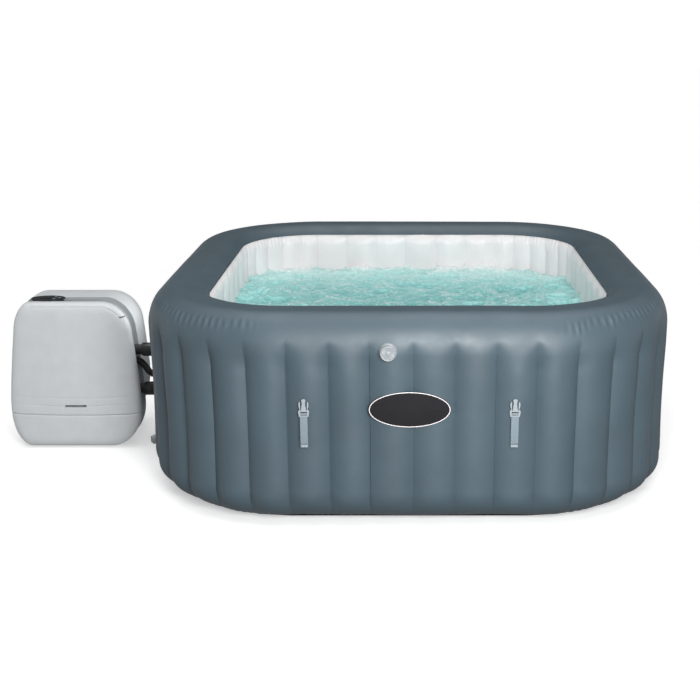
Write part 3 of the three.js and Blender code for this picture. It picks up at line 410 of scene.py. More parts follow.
# 1 round the corners, and 0 along the straights, reaching past the corner's ends or kept within them
CORNERNESS = smoothstep(in_corner, -0.05, 0.12) * (1 - smoothstep(in_corner, ARC - 0.12, ARC + 0.05))
CREASED = smoothstep(in_corner, 0.04, 0.18) * (1 - smoothstep(in_corner, ARC - 0.18, ARC - 0.04))


def profile_frame(line):
    """Outward normals of an [inset, z] line that runs up the outside and in over the top."""
    line = np.array(line)
    along = np.gradient(line, axis=0)
    along /= np.linalg.norm(along, axis=1)[:, None]
    return line, np.stack([-along[:, 1], along[:, 0]], 1)


def thickened(made, thickness):
    """Give a sheet its thickness inwards, with crisp cut edges."""
    wall = made.modifiers.new("sheet", "SOLIDIFY")
    wall.thickness = thickness
    wall.offset = -1
    made.modifiers.new("crisp", "EDGE_SPLIT").split_angle = math.radians(50)


def swept(inset, z):
    """Points of the rows (inset, z) carried round the tub."""
    x, y = UX - UNX * inset, UY - UNY * inset
    return np.stack([x, y, np.broadcast_to(z, x.shape)], -1).reshape(-1, 3)


def skin(name, line, relief, slot, replaces):
    """A sheet round the tub: the profile line pushed out along its normal by relief(line)."""
    line, normal = profile_frame(line)
    push = relief(line)
    points = swept(line[:, :1] + normal[:, :1] * push, line[:, 1:] + normal[:, 1:] * push)
    thickened(piece(name, points, grid_faces(len(line), len(U), wrap=True), slot, "tub", replaces), SKIN)


def lobes():
    """Depth of each inflated rib's section below its crest: 0 in its middle and nearly 1 at its seams."""
    t = np.abs(2 * FROM_SEAM - 1)
    sharp = 0.02  # the share of a rib in which its seam is rounded off
    t = np.where(t > 1 - sharp, 1 - sharp + (t - 1 + sharp) * 0.5 * (2 - (t - 1 + sharp) / sharp), t)
    return t**2


def ripple(v, scale, seed):
    return wander(U, v, scale, seed, around=4 * SIDE)


def rib_vary(seed, spread):
    """A factor for each rib, up to `spread` from 1."""
    return 1 + spread * np.random.default_rng(seed).uniform(-1, 1, 4 * RIBS_PER_SIDE + 1)[RIB_NUMBER]


def puckers(pitch, seed, sharpness=2.0):
    """Fine radial gathers, uneven in pitch and height, from 0 to 1."""
    pitch = 4 * SIDE / round(4 * SIDE / pitch)
    warped = U + 0.35 * pitch * ripple(0, 3 * pitch, seed)
    ridge = 0.5 + 0.5 * np.cos(2 * math.pi * warped / pitch)
    return ridge**sharpness * (0.55 + 0.45 * ripple(7, 1.7 * pitch, seed + 1))


def arc_points(point, start, stop, steps):
    return [point(math.radians(a)) for a in np.linspace(start, stop, steps)]


def foot(a):
    return [FOOT[0] * (1 - math.sin(a)), FOOT[1] * (1 - math.cos(a))]


def shoulder(a):
    return [SHOULDER[0] * (1 - math.cos(a)), HEIGHT - SHOULDER[1] * (1 - math.sin(a))]


def lip(a):
    return [WALL - LIP * (1 - math.cos(a)), HEIGHT - LIP * (1 - math.sin(a))]


def side_points(low, high, steps):
    """The nearly upright wall, drawn in a little at its waist."""
    z = np.linspace(low, high, steps)
    return [[WAIST * math.sin(math.pi * (h - low) / (high - low)), h] for h in z]


def outer_relief(line):
    z = line[:, 1:]
    fade = smoothstep(z, 0.012, 0.10) * (1 - smoothstep(z, 0.535, 0.637))
    push = CREST * smoothstep(z, 0, 0.08) * (1 - smoothstep(z, 0.5, 0.64))
    push = push - RIB_DEPTH * rib_vary(seed=3, spread=0.15) * lobes() * fade
    # each seam ends in a short dimple where the web lets go of the wall
    from_seam = np.minimum(FROM_SEAM, 1 - FROM_SEAM) * RIB
    push = push - DIMPLE * np.exp(-((from_seam / 0.012) ** 2)) * np.exp(-(((z - DIMPLE_Z) / 0.02) ** 2))
    # slight waves in the sheet, and gathers just above the floor
    waves = 0.0018 * ripple(z, scale=0.16, seed=21) + 0.0009 * ripple(z * 0.4, scale=0.05, seed=22)
    push = push + waves * (1 - smoothstep(z, 0.58, 0.636))
    low = (1 - smoothstep(z, 0.015, 0.085)) * (0.45 + 0.55 * CORNERNESS)
    push = push + 0.0035 * (puckers(pitch=0.026, seed=31) - 0.4) * low * smoothstep(z, 0.0, 0.012)
    return push * smoothstep(z, 0.0, 0.016)


def top_relief(line):
    """Gathers in the collar: short ones high on the outside of the corners, softer ones along the lip."""
    inset = line[:, :1]
    crease_line = 0.029 - 0.006 * ripple(3, scale=0.06, seed=43)
    outer = np.exp(-(((inset - crease_line) / 0.0098) ** 2)) * CREASED
    inner = smoothstep(inset, 0.165, 0.2) * (0.35 + 0.65 * CORNERNESS)
    push = 0.0012 * ripple(inset, scale=0.2, seed=51) * smoothstep(inset, 0.01, 0.05)
    push = push + 0.0060 * (puckers(pitch=0.028, seed=41, sharpness=1.5) - 0.35) * outer
    return push + 0.0009 * (puckers(pitch=0.03, seed=61) - 0.3) * inner


def liner_relief(line):
    z = line[:, 1:]
    fade = smoothstep(z, 0.02, 0.09) * (1 - smoothstep(z, 0.6, 0.668))
    push = -LINER_RIB_DEPTH * rib_vary(seed=5, spread=0.2) * lobes() * (0.25 + 0.75 * fade)
    push = push + 0.0016 * ripple(z, scale=0.12, seed=71)
    gathers = 0.003 * (puckers(pitch=0.033, seed=61) - 0.3) * smoothstep(z, 0.6, 0.66)
    return push + gathers * (0.5 + 0.5 * CORNERNESS)


outer_line = [[FOOT[0] + 0.004, 0.0012]] + arc_points(foot, 5, 90, 16)
outer_line += side_points(FOOT[1], HEIGHT - SHOULDER[1], 40)[1:] + arc_points(shoulder, 0, OUTER_SEAM, 14)[1:]
skin("tub_outer_wall", outer_line, outer_relief, "wall_pvc", ["outer_wall"])

top_line = arc_points(shoulder, OUTER_SEAM, 90, 36) + arc_points(lip, 90, INNER_SEAM + 0.6, 14)
skin("tub_top_collar", top_line, top_relief, "wall_pvc", ["top_collar"])

liner_line = arc_points(lip, INNER_SEAM, 0, 8) + [[WALL, z] for z in np.linspace(HEIGHT - LIP, 0.009, 30)[1:]]
skin("tub_inner_wall", liner_line, liner_relief, "liner_pvc", ["inner_wall"])


def weld(name, inset, z, radius):
    """The round bead of a weld between two sheets, all the way round the tub."""
    sides, count = 8, len(U)
    angles = np.linspace(0, 2 * math.pi, sides, endpoint=False)
    line = np.array([[inset + radius * math.cos(a), z + radius * math.sin(a)] for a in angles])
    faces = grid_faces(sides, count, wrap=True)
    last = (sides - 1) * count
    faces += [(last + c, last + (c + 1) % count, (c + 1) % count, c) for c in range(count)]
    piece(name, swept(line[:, :1], line[:, 1:]), faces, "wall_pvc", "tub")


seam_inset, seam_z = lip(math.radians(INNER_SEAM))
weld("weld_inner_seam", seam_inset + 0.0012, seam_z - 0.0005, 0.0016)
weld("weld_base_seam", FOOT[0] + 0.012, 0.0026, 0.0024)

# ---------------------------------------------------------------- water and webs

# The layers of the water's chop: width, height and seed of each.
CHOP = ((0.30, 0.006, 81), (0.13, 0.0075, 82), (0.065, 0.006, 83), (0.032, 0.004, 84), (0.016, 0.002, 85))


def water_surface():
    """Choppy water from wall to wall, rougher round the sides where the air comes up."""
    count = 300
    reach = HALF - WALL + 0.02
    axis = np.linspace(-reach, reach, count)
    x, y = np.meshgrid(axis, axis)
    corner = CORNER - WALL + 0.02
    qx, qy = np.abs(x) - (reach - corner), np.abs(y) - (reach - corner)
    outside = np.hypot(np.maximum(qx, 0), np.maximum(qy, 0)) + np.minimum(np.maximum(qx, qy), 0) - corner
    edge = np.clip(1 + outside / 0.42, 0, 1)  # 1 at the wall
    swell = 0.0
    for scale, height, seed in CHOP:
        warp_x = x + 0.4 * scale * wander(x, y, scale * 1.7, seed + 20)
        warp_y = y + 0.4 * scale * wander(y, x, scale * 1.7, seed + 40)
        swell = swell + height * (1 - 2 * np.abs(wander(warp_x, warp_y, scale, seed)))
    boil = 0.75 + 0.75 * edge**2
    z = WATER_LEVEL + swell * boil + 0.014 * edge**3 * (0.6 + 0.6 * wander(x, y, 0.11, 90))
    points = np.stack([x, y, z], -1).reshape(-1, 3)
    keep = (outside < 0.0).reshape(-1)
    faces = [f for f in grid_faces(count, count) if all(keep[v] for v in f)]
    made = piece("water_surface", points, faces, None, "tub", material=water("water"))
    loose = bmesh.new()
    loose.from_mesh(made.data)
    bmesh.ops.delete(loose, geom=[v for v in loose.verts if not v.link_faces], context="VERTS")
    loose.to_mesh(made.data)
    loose.free()


water_surface()


def webs():
    """The radial webs that hold the walls together, one behind each outside seam."""
    line = [(0.09, 0.045), (0.03, 0.11), (0.03, 0.545), (WALL - 0.016, 0.555), (WALL - 0.016, 0.03)]
    count = len(line)
    points, faces = [], []
    for i in range(4 * RIBS_PER_SIDE):
        x, y, nx, ny = (value[0] for value in outline(np.array([RIB_PHASE + i * RIB])))
        start = len(points)
        for half in (-SKIN / 2, SKIN / 2):
            points += [(x - nx * inset - half * ny, y - ny * inset + half * nx, z) for inset, z in line]
        ends = range(start, start + count), range(start + 2 * count - 1, start + count - 1, -1)
        faces += [tuple(end) for end in ends]
        for k in range(start, start + count):
            following = start + (k - start + 1) % count
            faces.append((k, count + k, count + following, following))
    piece("tub_webs", points, faces, "liner_pvc", "tub", ["wall_baffles"])


webs()

# ---------------------------------------------------------------- the pump unit's shells

PUMP_X, PUMP_HALF = -1.261, 0.240  # its middle and half its width
PUMP_LOW, PUMP_HIGH = 0.006, 0.574
NARROWING = 0.1  # how it narrows towards its top
FLARE, FLARE_TOP = 0.052, 0.460  # how its left side spreads below FLARE_TOP
# width and height of each corner's rounding, from the right foot round
FRONT_CORNERS = ((0.120, 0.150), (0.110, 0.110), (0.065, 0.105), (0.074, 0.160))
REAR_CORNERS = ((0.190, 0.270), (0.130, 0.130), (0.065, 0.105), (0.074, 0.160))
MIN_RADIUS = 0.014
# the bulged front: its rounding, its back edge and its depth
FACE_INSET, SHELL_EDGE, SHELL_DEPTH = 0.058, -0.142, 0.034
FACE_SQUARENESS = 3.4
SEAM_END, SEAM_MIDDLE = 0.143, 0.134  # height of the door's lower seam
HANDLE_END, HANDLE_EDGE, HANDLE_LEFT = 0.518, -0.1714, -1.402  # the handle's underside, front and left end
GROOVES, GROOVE_RISE = (0.203, 0.173), 0.010
GROOVE_WIDTH, GROOVE_DEPTH, GROOVE_REACH = 0.0022, 0.0012, 0.235
CAP_RINGS = (0.9, 0.78, 0.64, 0.5, 0.36, 0.22, 0.1)
VENT_LOW, VENT_HEIGHT, VENT_PITCH, VENTS = 0.300, 0.008, 0.022, 6
VENT_LEFT, VENT_RIGHT = -1.210, -1.130


def pump_ring(inset, lift, corners):
    """x and z round the pump unit's outline, drawn in by `inset` and up by `lift` at its foot."""
    steps, between = 14, 15  # points in a corner, and on a side between two corners
    half, low, high = PUMP_HALF - inset, PUMP_LOW + lift, PUMP_HIGH - inset
    arcs = []
    for k, (width, height) in enumerate(corners):
        rx, rz = max(width - inset, MIN_RADIUS), max(height - inset, MIN_RADIUS)
        right = 1 if k < 2 else -1
        middle_z = high - rz if k in (1, 2) else low + rz
        a = (k - 1 + np.linspace(0, 1, steps)) * math.pi / 2
        arcs.append(np.stack([right * (half - rx) + rx * np.cos(a), middle_z + rz * np.sin(a)], 1))
    ring = []
    for k in range(4):
        start, stop = arcs[k][-1], arcs[(k + 1) % 4][0]
        share = np.linspace(0, 1, between + 2)[1:-1, None]
        ring += [arcs[k], start * (1 - share) + stop * share]
    x, z = np.concatenate(ring).T
    lean = np.where(x < 0, FLARE * np.maximum(FLARE_TOP - z, 0) * x / half, 0)
    narrow = 1 - NARROWING * np.maximum((z - 0.2) / 0.3, 0) ** 1.3
    return PUMP_X + x * narrow + lean, z


def pump_shell(rows, corners, cap=None):
    """Points and faces of a shell through (y, inset, lift) rows, with its end closed at `cap` when given."""
    points = []
    for y, inset, lift in rows:
        x, z = pump_ring(inset, lift, corners)
        points += [(a, y, b) for a, b in zip(x, z)]
    count = len(points) // len(rows)
    faces = grid_faces(len(rows), count, wrap=True)
    if cap is not None:
        cx, cz, edge = x.mean(), z.mean(), rows[-1][0]
        start = len(points) - count
        for s in CAP_RINGS:
            y = edge + (cap - edge) * (1 - s * s)
            points += [(cx + (a - cx) * s, y, cz + (b - cz) * s) for a, b in zip(x, z)]
        faces += grid_faces(len(CAP_RINGS) + 1, count, wrap=True, offset=start)
        points.append((cx, cap, cz))
        last = len(points) - 1
        faces += [(last - count + c, last - count + (c + 1) % count, last) for c in range(count)]
    return points, faces


def smooth_rows(rows, steps=5):
    """Rows along a smooth curve through the given ones."""
    rows = np.array(rows)
    padded = np.vstack([2 * rows[0] - rows[1], rows, 2 * rows[-1] - rows[-2]])
    out = []
    for i in range(1, len(rows)):
        a, b, c, d = padded[i - 1 : i + 3]
        for t in np.linspace(0, 1, steps, endpoint=False):
            point = 2 * b + (c - a) * t
            point = point + (2 * a - 5 * b + 4 * c - d) * t**2 + (3 * b - a - 3 * c + d) * t**3
            out.append(0.5 * point)
    return [tuple(r) for r in out] + [tuple(rows[-1])]


def worked(points, faces, centre):
    """A bmesh of the shell with its faces turned outwards from `centre`."""
    mesh = bpy.data.meshes.new("work")
    mesh.from_pydata([tuple(p) for p in points], [], faces)
    bm = bmesh.new()
    bm.from_mesh(mesh)
    bpy.data.meshes.remove(mesh)
    bm.normal_update()
    outward = sum(f.calc_area() * f.normal.dot(f.calc_center_median() - Vector(centre)) for f in bm.faces)
    if outward < 0:
        bmesh.ops.reverse_faces(bm, faces=bm.faces[:])
    return bm


def cut(bm, level, clear=None):
    """Cut the mesh along the curve z = level(x), and clear the part "above" or "below" it when asked."""
    for v in bm.verts:
        v.co.z -= level(v.co.x)
    bmesh.ops.bisect_plane(
        bm,
        geom=bm.verts[:] + bm.edges[:] + bm.faces[:],
        dist=1e-6,
        plane_co=(0, 0, 0),
        plane_no=(0, 0, 1),
        clear_outer=clear == "above",
        clear_inner=clear == "below",
    )
    for v in bm.verts:
        v.co.z += level(v.co.x)


def off_middle(x):
    """0 in the middle of the pump unit and nearly 1 at its sides."""
    return ((x - PUMP_X) / 0.26) ** 2


def seam(x):
    """Height of the joint between the door and the lower front."""
    return SEAM_MIDDLE + (SEAM_END - SEAM_MIDDLE) * off_middle(x)


def groove(bm, middle):
    """A shallow line pressed into the front face, fading out at each end."""

    def level(x):
        return middle + GROOVE_RISE * off_middle(x)

    for d in (-GROOVE_WIDTH, 0, GROOVE_WIDTH):
        cut(bm, lambda x: level(x) + d)
    for v in bm.verts:
        if v.co.y < SHELL_EDGE - 0.02 and abs(v.co.z - level(v.co.x)) < 0.05 * GROOVE_WIDTH:
            fade = 1 - smoothstep(abs(v.co.x - PUMP_X), GROOVE_REACH - 0.06, GROOVE_REACH)
            v.co.y += GROOVE_DEPTH * float(fade)


def roll_edge(bm, level, away, depth=0.0030):
    """Turn the cut edge inwards over a few millimetres so that the joint reads as a soft line."""
    for d in (0.0018, 0.0045):
        cut(bm, lambda x: level(x) + away * d)
    bm.normal_update()
    moves = []
    for v in bm.verts:
        off = away * (v.co.z - level(v.co.x))
        if -0.0002 < off < 0.004:
            moves.append((v, depth * (1 - off / 0.0045) ** 2.2))
    for v, d in moves:
        v.co -= v.normal * d


def shell(name, bm, body, replaces, slot="housing", thickness=0.003):
    mesh = bpy.data.meshes.new(name)
    bm.to_mesh(mesh)
    bm.free()
    made = dressed(placed(name, mesh), slot, body, replaces)
    thickened(made, thickness)
    made.modifiers.new("even", "WEIGHTED_NORMAL").keep_sharp = True


def front_rows():
    """The bulged front, from its back edge round to its flat face, with a row at the handle's front."""
    theta = np.linspace(0.02, math.pi / 2, 18)
    inset = FACE_INSET * (1 - np.cos(theta) ** (2 / FACE_SQUARENESS))
    depth = SHELL_DEPTH * np.sin(theta) ** (2 / FACE_SQUARENESS)
    rows = [(SHELL_EDGE, 0.0022), (SHELL_EDGE - 0.0008, 0.0006), (SHELL_EDGE - 0.0025, 0.0)]
    rows += [(SHELL_EDGE - d, i) for d, i in zip(depth, inset) if d > 0.004]
    nearest = min(range(len(rows)), key=lambda k: abs(rows[k][0] - HANDLE_EDGE))
    rows[nearest] = (HANDLE_EDGE, rows[nearest][1])
    return [(y, i, i) for y, i in rows]


def front_block():
    points, faces = pump_shell(front_rows(), FRONT_CORNERS, cap=SHELL_EDGE - SHELL_DEPTH - 0.0008)
    return worked(points, faces, (PUMP_X, -0.05, 0.3))


def slice_at(bm, value, test, axis=0):
    """Cut the faces whose middle passes the test along the plane x = value, or z = value with axis 2."""
    near = [f for f in bm.faces if test(f.calc_center_median())]
    geom = near + list({e for f in near for e in f.edges}) + list({v for f in near for v in f.verts})
    point, normal = [0, 0, 0], [0, 0, 0]
    point[axis], normal[axis] = value, 1
    bmesh.ops.bisect_plane(bm, geom=geom, dist=1e-6, plane_co=point, plane_no=normal)


def delete_faces(bm, test):
    bmesh.ops.delete(bm, geom=[f for f in bm.faces if test(f.calc_center_median())], context="FACES")


def pump_door():
    latch_low, latch_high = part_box("door_latch")
    left, right = latch_low.x - 0.0004, latch_high.x + 0.0004
    low, high = SEAM_MIDDLE + 0.008, 0.177

    door = front_block()
    cut(door, lambda x: seam(x) + 0.0005, clear="below")
    roll_edge(door, lambda x: seam(x) + 0.0005, 1)
    for z in GROOVES:
        groove(door, z)
    # the top right of the block is the handle's
    top, side = HANDLE_END - 0.0008, HANDLE_LEFT - 0.0006
    cut(door, lambda x: top)
    slice_at(door, side, lambda c: c.z > 0.5)
    delete_faces(door, lambda c: c.z > top and c.x > side and c.y > HANDLE_EDGE)
    # the latch's hole
    for z in (low, high):
        cut(door, lambda x: z)
    for x in (left, right):
        slice_at(door, x, lambda c: c.z < 0.2)
    delete_faces(door, lambda c: left < c.x < right and low < c.z < high and c.y < SHELL_EDGE - 0.02)
    shell("pump_door", door, "service_door", ["service_door"], thickness=0.0028)


def pump_handle():
    handle = front_block()
    cut(handle, lambda x: HANDLE_END + 0.004, clear="below")
    slice_at(handle, HANDLE_LEFT, lambda c: True)
    delete_faces(handle, lambda c: c.y < HANDLE_EDGE or c.x < HANDLE_LEFT)
    handle.normal_update()
    edge = [v for v in handle.verts if abs(v.co.y - HANDLE_EDGE) < 1e-5]
    for v, d in [(v, v.normal * 0.0016) for v in edge]:
        v.co -= d
    shell("pump_handle", handle, "pump_unit", ["carry_handle"], thickness=0.006)


def pump_lower_front():
    lower = front_block()
    cut(lower, seam, clear="above")
    roll_edge(lower, seam, -1)
    # the wall behind the door, with the round way in to the filter
    low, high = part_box("filter_housing")
    cx, cz, radius = (low.x + high.x) / 2, (low.z + high.z) / 2, 0.080
    x, z = pump_ring(0.0004, 0.0004, FRONT_CORNERS)
    angle = np.arctan2(z - cz, x - cx)
    rings = []
    for share, step in ((0.0, 0), (0.97, 0), (1.0, 0.002)):
        px = x + (cx + radius * np.cos(angle) - x) * share
        pz = z + (cz + radius * np.sin(angle) - z) * share
        rings.append([lower.verts.new((a, SHELL_EDGE + 0.0006 + step, b)) for a, b in zip(px, pz)])
    for inner, outer in zip(rings[1:], rings[:-1]):
        for c in range(len(x)):
            d = (c + 1) % len(x)
            lower.faces.new((outer[c], outer[d], inner[d], inner[c]))
    shell("pump_lower_front", lower, "pump_unit", ["lower_front_shell"])


def pump_channel():
    """The darker band behind the handle, sunk between two raised edges."""
    front, back, depth = -0.1382, -0.0704, 0.018
    side = [(0, 0.0008), (0.0006, 0.0002), (0.0022, 0.0002), (0.003, 0.001)]
    side += [(0.0036, depth - 0.005), (0.005, depth - 0.0012), (0.009, depth)]
    rows = [(front + d, i) for d, i in side] + [(back - d, i) for d, i in reversed(side)]
    points, faces = pump_shell([(y, i, i) for y, i in rows], FRONT_CORNERS)
    channel = worked(points, faces, (PUMP_X, -0.1, 0.3))
    shell("pump_channel", channel, "pump_unit", ["channel_shell"], "channel", 0.0022)


def pump_rear():
    """The rear shell, with a row of vent slots in its back."""
    rows = [(-0.0690, 0.0, 0.0), (0.020, 0.001, 0.0), (0.080, 0.008, 0.0), (0.140, 0.024, 0.0)]
    rows += [(0.180, 0.046, 0.008), (0.204, 0.070, 0.030), (0.212, 0.095, 0.060)]
    rows = [(-0.0700, 0.0018, 0.0018), (-0.0696, 0.0005, 0.0005)] + smooth_rows(rows)
    points, faces = pump_shell(rows, REAR_CORNERS, cap=0.2128)
    bm = worked(points, faces, (PUMP_X, 0.05, 0.3))
    lows = [VENT_LOW + VENT_PITCH * i for i in range(VENTS)]
    for z in [z for low in lows for z in (low, low + VENT_HEIGHT)]:
        slice_at(bm, z, lambda c: c.y > 0.19, axis=2)
    for x in (VENT_LEFT, VENT_RIGHT):
        slice_at(bm, x, lambda c: c.y > 0.19)

    def in_vent(c):
        level = any(low < c.z < low + VENT_HEIGHT for low in lows)
        return c.y > 0.19 and VENT_LEFT < c.x < VENT_RIGHT and level

    delete_faces(bm, in_vent)
    shell("pump_rear", bm, "pump_unit", ["rear_shell"])


for make in (pump_door, pump_handle, pump_lower_front, pump_channel, pump_rear):
    make()

# ---------------------------------------------------------------- couplings, air hose and badge


def middle_of(node):
    """The middle in x and z of a node's box."""
    low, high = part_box(node)
    return (low.x + high.x) / 2, (low.z + high.z) / 2


def grip(name, node, radius, ridges, ridge=0.0014):
    """The ridges round a coupling nut, along its axis, as one sleeve fitted closely over it."""
    low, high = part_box(node)
    y, z = (low.y + high.y) / 2, (low.z + high.z) / 2
    inset = (high.x - low.x) * 0.12
    stations = [(low.x + inset, 0), (low.x + inset + 0.0015, 1), (high.x - inset - 0.0015, 1), (high.x - inset, 0)]
    around = ridges * 6
    points = []
    for x, rise in stations:
        for a in turn(around):
            r = radius + 0.0003 + rise * (0.0004 + ridge * (0.5 + 0.5 * math.cos(ridges * a)) ** 1.5)
            points.append((x, y + r * math.cos(a), z + r * math.sin(a)))
    piece(name, points, grid_faces(len(stations), around, wrap=True), "black_plastic", node)


grip("outlet_nut_grip", "outlet_coupling_nut", 0.024, 16)
grip("suction_nut_grip", "suction_coupling_nut", 0.024, 16)
grip("air_collar_grip", "air_hose_collar", 0.019, 14, 0.0011)

HOSE_LINE = (
    (-1.074, 0.336), (-1.056, 0.336), (-1.040, 0.336), (-1.025, 0.331), (-1.008, 0.314),
    (-0.994, 0.292), (-0.978, 0.280), (-0.962, 0.277), (-0.9455, 0.277),
)
HOSE_Y, HOSE_RADIUS, HOSE_WALL = -0.106, 0.0124, 0.0012
HOSE_PITCH, HOSE_WAVE = 0.0063, 0.0009


def corrugated_hose():
    """The air hose between the blower's port and the tub's: a thin corrugated tube along a smooth line."""
    line = np.array(smooth_rows([(x, z, 0) for x, z in HOSE_LINE], 16))[:, :2]
    length = np.concatenate([[0], np.cumsum(np.linalg.norm(np.diff(line, axis=0), axis=1))])
    even = np.arange(0, length[-1], 0.0009)
    line = np.stack([np.interp(even, length, line[:, k]) for k in (0, 1)], 1)
    along = np.gradient(line, axis=0)
    along /= np.linalg.norm(along, axis=1)[:, None]
    around = 24
    points = []
    for (x, z), (dx, dz), s in zip(line, along, even):
        bare = min(smoothstep(s, 0.004, 0.010), 1 - smoothstep(s, length[-1] - 0.014, length[-1] - 0.008))
        r = HOSE_RADIUS + HOSE_WAVE * float(bare) * math.cos(2 * math.pi * s / HOSE_PITCH)
        for a in turn(around):
            points.append((x - dz * r * math.sin(a), HOSE_Y + r * math.cos(a), z + dx * r * math.sin(a)))
    faces = grid_faces(len(line), around, wrap=True)
    hose = piece("air_hose_corrugated", points, faces, "black_plastic", "pump_unit", ["air_hose"])
    thickened(hose, HOSE_WALL)


corrugated_hose()


BADGE_Y = -(HALF + 0.0026)  # the badge bridges the seams behind it


def oval_patch(name, rings, slot, replaces=(), fill=False):
    """An oval on the front wall, where the badge is, through (inset from the badge's edge, rise) rings."""
    low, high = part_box("badge_plate")
    cx, cz = middle_of("badge_plate")
    rx, rz = (high.x - low.x) / 2, (high.z - low.z) / 2
    around = 120
    points = []
    for inset, rise in rings:
        for a in turn(around):
            points.append((cx + (rx - inset) * math.cos(a), BADGE_Y - rise, cz + (rz - inset) * math.sin(a)))
    faces = grid_faces(len(rings), around, wrap=True)
    if fill:
        points.append((cx, BADGE_Y - rings[-1][1], cz))
        start = (len(rings) - 1) * around
        faces += [(start + k, start + (k + 1) % around, len(points) - 1) for k in range(around)]
    piece(name, points, faces, slot, "tub", replaces)


field = [(0.0, -0.0016), (0.0, -0.0004), (0.0004, 0.0)]
field += [(t, 0.0004 * t / 0.055) for t in (0.002, 0.012, 0.03, 0.055)]
oval_patch("badge_field", field, "badge", ["badge_plate"], fill=True)
rim = [(0.0004, -0.0002), (0.0006, 0.0004), (0.0011, 0.0006)]
rim += [(0.0024, 0.0006), (0.0029, 0.0004), (0.0031, -0.0002)]
oval_patch("badge_rim", rim, "liner_pvc")

# ---------------------------------------------------------------- buckles, straps and air valve


def round_face(name, node, rings, body, ribs=None):
    """A white disc facing -Y in a node's place, through (radius, y) rings.

    `ribs` puts radial ribs on it: (how many, their height, and the radii they run from and to).
    """
    cx, cz = middle_of(node)
    around = 96
    points = []
    for radius, y in rings:
        for a in turn(around):
            rise = 0
            if ribs and ribs[2] < radius < ribs[3]:
                rise = ribs[1] * (0.5 + 0.5 * math.cos(ribs[0] * a)) ** 2
            points.append((cx + radius * math.cos(a), y - rise, cz + radius * math.sin(a)))
    piece(name, points, grid_faces(len(rings), around, wrap=True), "white_plastic", body, [node])


def rounded_bar(name, low, high, slot, body, radius, material=None, replaces=()):
    """A bar between two corners with its long edges rounded."""
    (x0, y0, z0), (x1, y1, z1) = low, high
    across, depth = (y1 - y0) / 2, (z1 - z0) / 2
    ring = []
    ring = []
    for cy, cz, start in ((1, 1, 0), (-1, 1, 90), (-1, -1, 180), (1, -1, 270)):
        for a in np.radians(np.linspace(start, start + 90, 5)):
            y, z = across - radius, depth - radius
            ring.append((cy * y + radius * math.cos(a), cz * z + radius * math.sin(a)))
    stations = [(x0, 0.55), (x0 + radius * 0.35, 0.88), (x0 + radius, 1.0)]
    stations += [(x1 - radius, 1.0), (x1 - radius * 0.35, 0.88), (x1, 0.55)]
    points = []
    for x, grow in stations:
        inset = radius * (1 - grow)
        for ry, rz in ring:
            y = (y0 + y1) / 2 + ry * (1 - inset / across)
            points.append((x, y, (z0 + z1) / 2 + rz * (1 - inset / depth)))
    count = len(ring)
    faces = grid_faces(len(stations), count, wrap=True)
    faces += [tuple(reversed(range(count))), tuple(range(len(points) - count, len(points)))]
    made = piece(name, points, faces, slot, body, replaces, material)
    made.modifiers.new("crisp", "EDGE_SPLIT").split_angle = math.radians(50)
    return made


# Half outline of a buckle's plug in mm, from the middle of its foot up round a prong to its tongue.
PLUG = (
    (0, 0), (14.9, 0), (16.2, 8), (17.4, 17.5), (17.2, 19.5), (15.2, 20.5), (12.8, 24.5), (13.4, 28.5),
    (15.2, 33), (15.9, 39), (15.4, 44.8), (14.0, 48.6), (12.6, 49.6), (11.2, 48.4), (10.2, 44.8),
    (10.5, 38), (10.1, 32), (10.0, 26), (10.4, 22.2), (9.6, 20.4), (8.4, 20.8), (7.2, 28), (5.6, 40),
    (5.2, 47), (6.4, 51), (6.6, 54), (5.6, 56.6), (3.0, 57.8), (0, 58),
)
PLUG_SIDE = ((9.8, 0), (14.9, 0), (16.2, 8), (17.4, 17.4), (11.2, 17.4))  # a side of the frame at its foot
PLUG_BARS = ((0, 4.6), (7.6, 11.4))  # the two bars that the strap goes round
PLUG_HEIGHT = 0.0585


def slab(outline_mm, middle, foot_z, front, depth):
    """Points and faces of a flat shape extruded in y."""
    count = len(outline_mm)
    points = [(middle + x / 1000, y, foot_z + z / 1000) for y in (front, front + depth) for x, z in outline_mm]
    faces = [tuple(range(count)), tuple(range(2 * count - 1, count - 1, -1))]
    faces += [(k, count + k, count + (k + 1) % count, (k + 1) % count) for k in range(count)]
    return points, faces


def plug_buckle(side, node, body, middle, foot_z):
    """The plug half of a side-release buckle, with three grips moulded on its tongue."""
    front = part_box(node)[0].y
    upper = [(17.4, 16.5)] + [(x, z) for x, z in PLUG if z >= 17.5]
    upper = upper + [(-x, z) for x, z in reversed(upper) if x > 0]
    parts = [(upper, 0.0, 0.0052)]
    for sign in (-1, 1):
        parts.append(([(sign * x, z) for x, z in PLUG_SIDE][::sign], 0.0001, 0.0050))
    for z0, z1 in PLUG_BARS:
        parts.append(([(-13, z0), (13, z0), (13, z1), (-13, z1)], 0.0006, 0.0040))
    points, faces = [], []
    for shape, back, depth in parts:
        new_points, new_faces = slab(shape, middle, foot_z, front + back, depth)
        faces += [tuple(k + len(points) for k in f) for f in new_faces]
        points += new_points
    made = piece("plug_" + side, points, faces, "housing", body, [node], material=MATERIALS["buckle"])
    shaded(made.data, smooth=False)
    bevelled(made, 0.0007, 50)
    for k, up in enumerate((0.036, 0.041, 0.046)):
        low = (middle - 0.0040, front - 0.0005, foot_z + up)
        high = (middle + 0.0040, front + 0.0010, foot_z + up + 0.0016)
        name = "plug_grip_%s_%d" % (side, k)
        rounded_bar(name, low, high, "housing", body, 0.0006, material=MATERIALS["buckle"])


